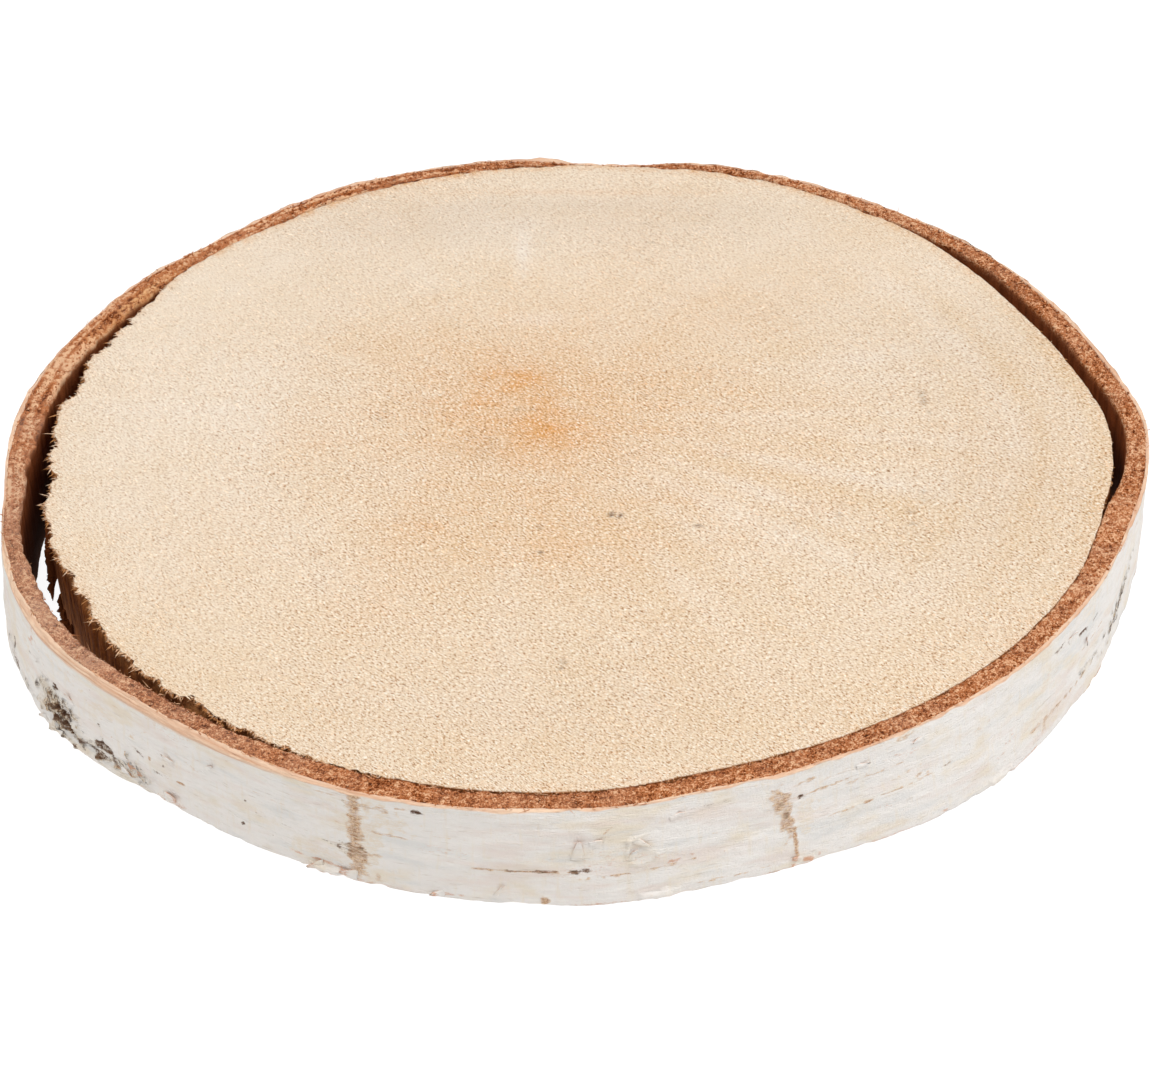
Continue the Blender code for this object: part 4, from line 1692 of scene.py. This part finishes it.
@dataclass
class OuterBark:
    """The white skin: a thin ring with its lenticels, branch scar, worn patches and orange cut edge."""

    shape: SliceShape
    finish: Material
    columns_behind: int = 420
    columns_in_front: int = 980
    front_from: float = 192.0
    wall_rows: int = 60
    rim_rows: int = 7
    rim_rounding: float = 0.16
    bevel: float = 1.0
    bevel_centre: float = 224.0
    bevel_reach: float = 24.0
    unseen_from: float = 2.0
    unseen_to: float = 196.0
    unseen_lenticels: int = 46
    seed: int = 61
    ripple: GrainField = GrainField(TRUNK_ROUND, 40.0, 0.5, 14.0, 4.0, seed=62)
    wrinkle: GrainField = GrainField(TRUNK_ROUND, 40.0, 0.25, 3.0, 0.7, seed=63)
    chips: GrainField = GrainField(TRUNK_ROUND, 40.0, 0.25, 1.0, 0.8, seed=64)
    blush: GrainField = GrainField(TRUNK_ROUND, 40.0, 0.5, 12.0, 2.2, seed=65)
    frayed: GrainField = GrainField(TRUNK_ROUND, 40.0, 0.5, 2.2, 2.2, seed=66)
    layers: GrainField = GrainField(TRUNK_ROUND, 40.0, 0.5, 16.0, 5.0, 6.0, seed=67)

    def marks(self) -> list[SkinMark]:
        """Every mark: those of the front, and the same kinds strewn by rule over the far side.

        Returns:
            The marks.
        """
        rng = np.random.default_rng(self.seed)
        found = [*SCAR_MARKS, *BAND_MARKS, *LENTICELS]
        for _ in range(self.unseen_lenticels):
            angle = rng.uniform(self.unseen_from, self.unseen_to)
            height = rng.uniform(1.0, 19.0)
            length = rng.lognormal(1.6, 0.6)
            tint = DARK if rng.uniform() < 0.35 else TAN
            width = rng.uniform(0.4, 0.8)
            strength = rng.uniform(0.5, 0.9)
            found.append(SkinMark(angle, height, length, width, tint, strength, rng.normal(0.0, 3.0)))
        for angle in (36.0, 78.0, 131.0, 168.0):
            lean = rng.normal(0.0, 6.0)
            found.append(SkinMark(angle, 11.0, 19.0, 2.8, TAN, 0.75, 90.0 + lean, relief=0.14, broken=0.6))
            found.append(SkinMark(angle, 11.0, 9.0, 0.8, DARK, 0.4, 90.0 + lean, broken=1.0))
            found.append(SkinMark(angle + 0.6, rng.uniform(4.0, 15.0), 9.0, 0.8, TAN, 0.7))
        for angle in rng.uniform(self.unseen_from, self.unseen_to, 9):
            found.append(SkinMark(angle, 1.0, rng.uniform(2.5, 6.0), 1.4, ORANGE, 0.75))
        return found

    def cover(self, mark: SkinMark, angle: Floats, height: Floats) -> Floats:
        """How much of each point a mark covers, from 0 to 1.

        Args:
            mark: The mark.
            angle: The points' angles.
            height: Their heights.

        Returns:
            The cover.
        """
        along = round_the_trunk(turn_between(angle, mark.angle))
        up = height - mark.height
        cosine, sine = math.cos(math.radians(mark.lean)), math.sin(math.radians(mark.lean))
        long_way = (along * cosine + up * sine) / (0.5 * mark.length)
        short_way = (up * cosine - along * sine) / (0.5 * mark.width)
        inside = 1.0 - np.hypot(long_way, short_way)
        reached = inside > -1.5
        edge = np.zeros_like(inside)
        edge[reached] = self.chips.at(round_the_trunk(angle[reached]), height[reached])
        return np.where(reached, ease(inside + 0.4 * mark.broken * edge, -0.25, 0.6), 0.0)

    def columns(self) -> Floats:
        """Where the ring's sections stand: closer together in front, where the marks are fine.

        Returns:
            The angles.
        """
        behind = np.linspace(0.0, self.front_from, self.columns_behind, endpoint=False)
        front = np.linspace(self.front_from, 360.0, self.columns_in_front, endpoint=False)
        return np.concatenate([behind, front])

    def wall_net(self, angle: Floats) -> tuple[Floats, Floats]:
        """Nets the wall from foot to edge.

        Args:
            angle: The ring's angles.

        Returns:
            The heights of the wall's points, row by row, and those of its frayed upper edge.
        """
        place = round_the_trunk(angle)
        bevel = self.bevel * hump(angle, self.bevel_centre, self.bevel_reach)
        fray = (0.14 - 0.09 * near(angle, 222.0, 34.0, 18.0)) * self.frayed.at(place, 30.0 + 0.0 * place)
        wall_top = self.shape.white.top(angle) - self.rim_rounding - bevel + fray
        foot = np.clip(0.1 + 0.12 * self.frayed.at(place, 0.0 * place), 0.0, 0.5)
        shares = np.linspace(0.0, 1.0, self.wall_rows)
        return foot[None, :] + shares[:, None] * (wall_top - foot)[None, :], wall_top

    def weathered(self, angles: Floats, heights: Floats) -> tuple[Floats, dict[Tint, Floats]]:
        """Shapes the wall's points and lays every mark on them.

        Args:
            angles: The points' angles, row by row.
            heights: Their heights.

        Returns:
            Their radii, and how much of each tint they show.
        """
        places = round_the_trunk(angles)
        radius = self.shape.white.at(angles, heights / self.shape.white.top(angles))
        radius = radius + 0.13 * self.ripple.at(places, heights) + 0.04 * self.wrinkle.at(places, heights)
        radius = radius + 0.1 * ease(self.layers.at(places, heights), 0.55, 0.7)
        radius = radius - 0.12 * ease(heights, 0.8, 0.0) * np.clip(self.frayed.at(places, heights), 0.0, 2.0)
        tints = {tint: np.zeros_like(heights) for tint in Tint}
        rough = np.clip(self.chips.at(places, heights), -1.6, 1.6)
        for mark in self.marks():
            cover = self.cover(mark, angles, heights)
            tints[mark.tint] = np.maximum(tints[mark.tint], cover * mark.strength)
            if mark.tint is DARK:
                tints[TAN] = np.maximum(tints[TAN], 0.8 * cover * mark.strength)
            if mark.tint is GREY:
                radius = radius + 0.16 * mark.strength * cover * rough
            radius = radius + mark.relief * cover
        tints[ORANGE] = np.maximum(tints[ORANGE], 0.25 * ease(self.blush.at(places, heights), 1.3, 2.4))
        foot = ease(heights, 0.8, 0.2) * np.clip(0.1 + 0.3 * self.blush.at(places + 50.0, heights), 0.0, 0.6)
        tints[ORANGE] = np.maximum(tints[ORANGE], foot)
        return radius, tints

    def over_the_rim(self, angle: Floats, outer: Floats, wall_top: Floats) -> list[Row]:
        """The rows from the wall over the cut edge and down the seam, where the sawn layers show.

        Args:
            angle: The ring's angles.
            outer: The radius of the wall's upper edge.
            wall_top: Its height.

        Returns:
            The rows.
        """
        place = round_the_trunk(angle)
        top = self.shape.white.top(angle)
        inner = self.shape.cut_edge(angle) - 0.1
        rows = []
        for step in range(1, self.rim_rows + 1):
            share = step / self.rim_rows
            fray = 0.06 * self.chips.at(place, np.full_like(place, 3.0 * share))
            height = top - (top - wall_top) * (1.0 - share) ** 1.6 + fray - 0.12
            across = outer + (inner - outer) * share
            rows.append(polar(angle, across, np.minimum(height, SLICE_THICKNESS + 0.2)))
        rows.append(polar(angle, inner - 0.05, top - 0.8))
        for share in (0.5, 0.0):
            seam = self.shape.seam.at(angle, np.full_like(angle, share)) + 0.25
            rows.append(polar(angle, seam, share * top))
        return [(row, {"cut": 1.0}) for row in rows]

    def build(self) -> Object:
        """Makes the ring as one closed mesh.

        Returns:
            The piece.
        """
        angle = self.columns()
        heights, wall_top = self.wall_net(angle)
        angles = np.broadcast_to(angle, heights.shape)
        radius, tints = self.weathered(angles, heights)
        below = wall_top[None, :] - heights
        worn_back = 0.14 + 0.66 * loose_left(angle) + 0.08 * self.frayed.at(round_the_trunk(angle), 12.0)
        worn_back = np.clip(worn_back, 0.12, 2.0)
        tints[HALO] = np.maximum(tints[HALO], 0.3 * ease(below, 3.2, 0.8))
        shown = {tint.value: cover for tint, cover in tints.items()}
        shown["cut"] = ease(below, worn_back, 0.35 * worn_back)
        rows = [
            (polar(angle, radius[row], heights[row]), {name: value[row] for name, value in shown.items()})
            for row in range(self.wall_rows)
        ]
        rows += self.over_the_rim(angle, radius[-1], wall_top)
        mesh = make_ring("white_skin", rows, tuple(shown))
        return place_piece(mesh, self.finish, "outer_bark", "outer_bark")


@dataclass(frozen=True)
class Curl:
    """A thin scrap of skin or wood fibre that stands off a wall.

    Attributes:
        angle: Where its fixed edge lies round the trunk.
        height: How high its middle is.
        length: Its length from the fixed edge to the free tip.
        width: Its width at the fixed edge.
        lift: How far the tip stands off.
        heading: The way it points along the wall, from level towards larger angles.
        orange: How orange its torn face is.
    """

    angle: float
    height: float
    length: float
    width: float
    lift: float
    heading: float
    orange: float = 0.0


SKIN_CURLS = (
    Curl(269.8, 9.6, 4.2, 2.4, 0.7, 85, 0.1),
    Curl(270.9, 12.8, 2.6, 1, 0.6, 20, 0.2),
    Curl(275, 12.9, 3.4, 1.5, 0.8, -25, 0.05),
    Curl(274.6, 8.6, 3, 1.3, 0.7, 60, 0.05),
    Curl(278.6, 15.6, 3, 1, 0.6, 30, 0.1),
    Curl(248.9, 0.9, 3.2, 2.6, 0.6, 170, 0.7),
    Curl(245.4, 1.2, 3.2, 2.2, 0.7, 200, 0.6),
    Curl(226.6, 1.4, 3.6, 1.8, 0.6, 15, 0.6),
    Curl(214.6, 9.8, 2.6, 1.2, 0.7, 120, 0.2),
    Curl(209.6, 1.6, 2.4, 1.4, 0.7, 200, 0.4),
    Curl(221, 2.2, 2.4, 1, 0.5, 10, 0.3),
    Curl(232.4, 13, 2.8, 0.8, 0.5, 40, 0.2),
    Curl(228.2, 10.2, 2.4, 0.7, 0.5, 150, 0.2),
    Curl(262.2, 1.6, 2.6, 0.8, 0.4, 60, 0),
    Curl(257.4, 1, 2.4, 1.4, 0.6, 190, 0.7),
    Curl(292.4, 1.2, 2.6, 1.2, 0.6, 160, 0.8),
    Curl(298.4, 16.4, 2.6, 0.9, 0.5, 10, 0.1),
    Curl(306.5, 17, 2.8, 0.9, 0.5, 170, 0.3),
    Curl(329.8, 15.4, 2.6, 1, 0.6, 30, 0.1),
    Curl(334.8, 12, 2.4, 1, 0.6, 200, 0.2),
)


@dataclass
class BarkCurls:
    """Scraps of the white skin that have lifted off the wall, listed at the front and by rule behind."""

    shape: SliceShape
    finish: Material
    steps: int = 6
    lanes: int = 4
    thickness: float = 0.14
    unseen: int = 22
    seed: int = 71

    def curls(self) -> list[Curl]:
        """Gathers the scraps in front and strews the others.

        Returns:
            The scraps.
        """
        rng = np.random.default_rng(self.seed)
        found = list(SKIN_CURLS)
        for _ in range(self.unseen):
            size, width = rng.uniform(2.0, 4.0), rng.uniform(0.8, 2.0)
            where, height = rng.uniform(12.0, 168.0), rng.uniform(1.5, 17.0)
            lift, heading = rng.uniform(0.4, 0.8), rng.uniform(0.0, 360.0)
            found.append(Curl(where, height, size, width, lift, heading, 0.3))
        return found

    def nets(self, first: int, sheet: int) -> list[Indices]:
        """The faces of one scrap.

        Args:
            first: The number of its first point.
            sheet: How many points each of its sides has.

        Returns:
            The nets of its outer side, its inner side and the border between them.
        """
        width, step, lane = self.lanes + 1, np.arange(self.steps), np.arange(self.lanes)
        corner = first + step[:, None] * width + lane[None, :]
        net = np.stack([corner, corner + width, corner + width + 1, corner + 1], axis=-1).reshape(-1, 4)
        ahead, home = self.lanes + width * step, width * (self.steps - step)
        border = first + np.concatenate([lane, ahead, width * self.steps + self.lanes - lane, home])
        after = np.roll(border, -1)
        return [net[:, ::-1], net + sheet, np.stack([border, border + sheet, after + sheet, after], axis=-1)]

    def build(self) -> Object:
        """Makes the scraps as closed thin sheets.

        Returns:
            The piece.
        """
        rng = np.random.default_rng(self.seed + 1)
        points, faces, orange = [], [], []
        sheet = (self.steps + 1) * (self.lanes + 1)
        for curl in self.curls():
            along_it, across_it = np.linspace(0, 1, self.steps + 1), np.linspace(-0.5, 0.5, self.lanes + 1)
            step, lane = (grid.T.ravel() for grid in np.meshgrid(along_it, across_it))
            narrowing = 1.0 - 0.75 * step**1.4
            along = curl.length * step + rng.normal(0.0, 0.12, sheet) * step
            across = curl.width * lane * narrowing + rng.normal(0.0, 0.06, sheet)
            turn = math.radians(curl.heading)
            ahead = along * math.cos(turn) - across * math.sin(turn)
            up = np.clip(curl.height + along * math.sin(turn) + across * math.cos(turn), 0.15, 19.6)
            angle = curl.angle + ahead / TRUNK_ROUND * 360.0
            wall = self.shape.white.at(angle, up / SLICE_THICKNESS)
            off = curl.lift * step**1.7 + 0.12 * curl.lift * np.cos(lane * 2.5)
            first = sum(len(part) for part in points)
            points.append(polar(angle, wall + off + self.thickness * 0.5, up))
            points.append(polar(angle, wall + off - self.thickness * 0.5 - 0.5 * (1.0 - step) ** 2, up))
            orange.append(np.concatenate([curl.orange * ease(step, 0.1, 0.9), np.full(sheet, 0.8)]))
            faces += self.nets(first, sheet)
        everything = np.concatenate(points)
        values = {tint.value: np.zeros(len(everything)) for tint in Tint}
        values["orange"] = np.concatenate(orange)
        values["cut"] = np.zeros(len(everything))
        mesh = make_mesh("skin_curls", everything, faces, values)
        return place_piece(mesh, self.finish, "outer_bark")


@dataclass(frozen=True)
class Splinter:
    """A torn plate of wood and bast that stands out from the wood's side into the open gap.

    Attributes:
        angle: Where it hangs.
        thickness: Its thickness along the gap.
        outline: Heights down the plate, each with how far its inner and outer edges stand off the wood.
    """

    angle: float
    thickness: float
    outline: tuple[tuple[float, float, float], ...]


SPLINTERS = (
    Splinter(
        190.0,
        1.3,
        ((18.4, -0.6, 0), (15.5, -0.6, 0.35), (13, -0.6, 0.9), (11.8, -0.6, 1.35), (9, -0.6, 1.6))
        + ((6.6, -0.5, 1.7), (5.4, 0.1, 2.1), (4.6, 0.5, 1.7), (3.4, 1, 2.3))
        + ((2, 1.3, 2), (0.9, 1.7, 1.9)),
    ),
    Splinter(
        187.6,
        1.0,
        ((19, -0.5, 0), (14, -0.5, 0.6), (11, -0.5, 1.5), (9.4, 0.2, 1.7), (8.2, 1.2, 1.5)),
    ),
    Splinter(
        192.6,
        0.9,
        ((5, -0.5, 0), (3.4, -0.5, 0.7), (2.4, -0.5, 0.3), (1.4, -0.5, 1), (0.4, -0.4, 0.5)),
    ),
    Splinter(
        194.2,
        0.9,
        ((3.4, -0.5, 0), (2.2, -0.5, 0.9), (1.4, -0.5, 0.5), (0.8, -0.4, 1.4), (0.2, -0.4, 0.8)),
    ),
    Splinter(195.8, 0.9, ((3, -0.5, 0), (1.8, -0.5, 1), (0.8, -0.4, 1.6), (0.2, -0.4, 1))),
    Splinter(197.6, 0.8, ((4, -0.5, 0), (2, -0.5, 0.7), (0.8, -0.4, 1), (0.2, -0.4, 0.8))),
)


@dataclass
class GapSplinters:
    """Every torn plate in the gap, as one piece."""

    shape: SliceShape
    finish: Material
    rows_between: int = 5
    jitter: float = 0.1
    seed: int = 81

    def build(self) -> Object:
        """Makes each plate as a closed ragged blade with four edges.

        Returns:
            The piece.
        """
        rng = np.random.default_rng(self.seed)
        points, faces = [], []
        count = 0
        for splinter in SPLINTERS:
            outline = np.array(splinter.outline)
            steps = np.arange(len(outline))
            fine = np.linspace(0.0, steps[-1], (len(outline) - 1) * self.rows_between + 1)
            height, inner, outer = (np.interp(fine, steps, outline[:, column]) for column in range(3))
            rows = len(fine)
            wall = self.shape.wood.at(np.full(rows, splinter.angle), height / SLICE_THICKNESS)
            inner = wall + inner
            outer = np.maximum(wall + outer + rng.normal(0.0, self.jitter, rows), inner + 0.08)
            middle = round_the_trunk(np.array(splinter.angle)) + np.cumsum(rng.normal(0.0, 0.05, rows))
            half = 0.5 * splinter.thickness * (1.0 - 0.6 * fine / steps[-1])
            rings = []
            between = 0.5 * (inner + outer)
            for radius, side in ((inner, 0.0), (between, -1.0), (outer, 0.0), (between, 1.0)):
                place = (middle + half * side) / TRUNK_ROUND * 360.0
                rings.append(polar(place, radius, height))
            points.append(np.stack(rings, axis=1).reshape(-1, 3))
            for row in range(rows - 1):
                for side in range(4):
                    low = count + row * 4
                    after = (side + 1) % 4
                    faces.append((low + side, low + 4 + side, low + 4 + after, low + after))
            last = count + (rows - 1) * 4
            faces.append((count, count + 1, count + 2, count + 3))
            faces.append((last + 3, last + 2, last + 1, last))
            count += rows * 4
        everything = np.concatenate(points)
        values = {"grit": np.full(count, 0.4), "wall": np.ones(count), "speck": np.ones(count)}
        # Painted shade: the plates darken lower in the gap.
        values["deep"] = 0.7 * ease(everything[:, 2], 16.0, 8.0)
        mesh = make_mesh("gap_splinters", everything, [np.array(faces)], values, smooth=False)
        return place_piece(mesh, self.finish, "inner_bark")


@dataclass
class RimSlivers:
    """Fine orange slivers that the saw pulled up along the rim between bark and skin."""

    shape: SliceShape
    finish: Material
    count: int = 420
    length: float = 1.1
    thickness: float = 0.16
    seed: int = 91

    def build(self) -> Object:
        """Makes the slivers as slim closed needles.

        Returns:
            The piece.
        """
        rng = np.random.default_rng(self.seed)
        angle = rng.uniform(0.0, 360.0, self.count)
        inner = rng.uniform(0.0, 1.0, self.count) < 0.4
        edge = np.where(
            inner, self.shape.bark_inside.at(angle) + 0.3, self.shape.cut_edge(angle)
        )
        height = self.shape.bark_inside.top(angle) - 0.2
        length = self.length * rng.lognormal(0.0, 0.45, self.count)
        heading = angle + 90.0 + rng.normal(0.0, 35.0, self.count) + rng.choice([0.0, 180.0], self.count)
        heading = np.radians(heading)
        start = polar(angle, edge + rng.normal(0.0, 0.15, self.count), height)
        ahead = np.stack([np.cos(heading), np.sin(heading), 0.0 * heading], axis=-1)
        beside = np.stack([-ahead[:, 1], ahead[:, 0], ahead[:, 2]], axis=-1)
        upward = np.array([0.0, 0.0, 1.0])
        girth = (self.thickness * rng.uniform(0.6, 1.4, self.count))[:, None]
        rise = np.minimum(rng.uniform(0.1, 0.5, self.count), SLICE_THICKNESS + 0.4 - height)[:, None]
        corners = [
            start - ahead * 0.2,
            start + beside * girth * 0.5,
            start - beside * girth * 0.5,
            start + upward * girth * 0.8,
            start + ahead * length[:, None] + upward * rise,
        ]
        points = np.stack(corners, axis=1).reshape(-1, 3)
        hull = np.array([[0, 2, 3], [0, 3, 1], [0, 1, 2], [4, 3, 2], [4, 1, 3], [4, 2, 1]])
        faces = repeated(hull, self.count, 5)
        grit = np.repeat(rng.uniform(0.6, 1.3, self.count), 5)
        mesh = make_mesh("rim_slivers", points, [faces], {"grit": grit}, smooth=False)
        return place_piece(mesh, self.finish, "inner_bark")


@dataclass
class Studio:
    """The camera, the pale light table that the slice lies on, and soft light from above."""

    aim: tuple[float, float, float] = (-0.737, -8.574, 10.0)
    elevation: float = 35.0
    distance: float = 1200.0
    lens: float = 204.0
    sensor: float = 36.0
    table_size: float = 4000.0
    table_drop: float = 0.05
    table_colour: str = "#757575"
    table_glow: str = "#FFFFFF"
    glow_strength: float = 0.92
    sky_strength: float = 0.3

    def camera(self) -> Object:
        """Looks along +Y, down at the slice.

        Returns:
            The camera.
        """
        lean = math.radians(self.elevation)
        data = bpy.data.cameras.new("camera")
        data.lens = self.lens
        data.sensor_width = self.sensor
        data.clip_start = 0.05
        data.clip_end = 20.0
        camera = bpy.data.objects.new("camera", data)
        back = Vector((0.0, -math.cos(lean), math.sin(lean))) * self.distance * MM
        camera.location = Vector(self.aim) * MM + back
        camera.rotation_euler = (math.pi / 2 - lean, 0.0, 0.0)
        bpy.context.scene.collection.objects.link(camera)
        bpy.context.scene.camera = camera
        return camera

    def table(self) -> Object:
        """A white table that glows a little, as a lit acrylic sheet does.

        Returns:
            The table.
        """
        half = self.table_size / 2
        corners = np.array([(-half, -half, 0.0), (half, -half, 0.0), (half, half, 0.0), (-half, half, 0.0)])
        mesh = make_mesh("table", corners, [np.array([[0, 1, 2, 3]])], {})
        material = bpy.data.materials.new("white_acrylic_table")
        material.use_nodes = True
        shader = material.node_tree.nodes["Principled BSDF"]
        shader.inputs["Base Color"].default_value = linear(self.table_colour)
        shader.inputs["Roughness"].default_value = 0.9
        shader.inputs["Emission Color"].default_value = linear(self.table_glow)
        shader.inputs["Emission Strength"].default_value = self.glow_strength
        mesh.materials.append(material)
        table = bpy.data.objects.new("table", mesh)
        table.location.z = -self.table_drop * MM
        bpy.context.scene.collection.objects.link(table)
        return table

    def lamp(
        self, name: str, place: tuple[float, float, float], size: float, power: float, tint: str
    ) -> None:
        """Adds a soft square lamp aimed at the slice.

        Args:
            name: The lamp's name.
            place: Where it hangs, in metres.
            size: Its side in metres.
            power: Its power in watts.
            tint: Its colour.
        """
        data = bpy.data.lights.new(name, "AREA")
        data.shape = "SQUARE"
        data.size = size
        data.energy = power
        data.color = linear(tint)[:3]
        lamp = bpy.data.objects.new(name, data)
        lamp.location = place
        lamp.rotation_euler = (-Vector(place)).to_track_quat("-Z", "Y").to_euler()
        bpy.context.scene.collection.objects.link(lamp)

    def build(self) -> None:
        """Sets up the camera, the table, the lamps and the sky."""
        self.camera()
        self.table()
        self.lamp("key", (-0.5, -0.3, 1.5), 0.7, 12.6, "#FFFEFB")
        self.lamp("fill", (0.8, -0.3, 1.2), 0.8, 12.4, "#FBFDFF")
        world = bpy.data.worlds.new("studio")
        world.use_nodes = True
        sky = world.node_tree.nodes["Background"]
        sky.inputs["Color"].default_value = linear("#FFFFFF")
        sky.inputs["Strength"].default_value = self.sky_strength
        bpy.context.scene.world = world
        bpy.context.scene.view_settings.view_transform = "Standard"


def main() -> None:
    """Builds the studio and every piece of the slice."""
    logging.basicConfig(level=logging.INFO, format="%(name)s: %(message)s")
    Studio().build()
    shape = SliceShape(frame["nodes"])
    sawn = SawnBirch().build()
    cork = CorkyBark().build()
    skin = PaperySkin().build()
    pattern = EndGrain(shape)
    disc = WoodDisc(shape, pattern, sawn)
    disc.build()
    WoodNap(shape, pattern, sawn).build()
    TornFringe(disc, pattern, sawn).build()
    InnerBark(shape, cork).build()
    BarkCrumbs(shape, cork).build()
    OuterBark(shape, skin).build()
    BarkCurls(shape, skin).build()
    GapSplinters(shape, cork).build()
    RimSlivers(shape, cork).build()


if __name__ == "__main__":
    main()
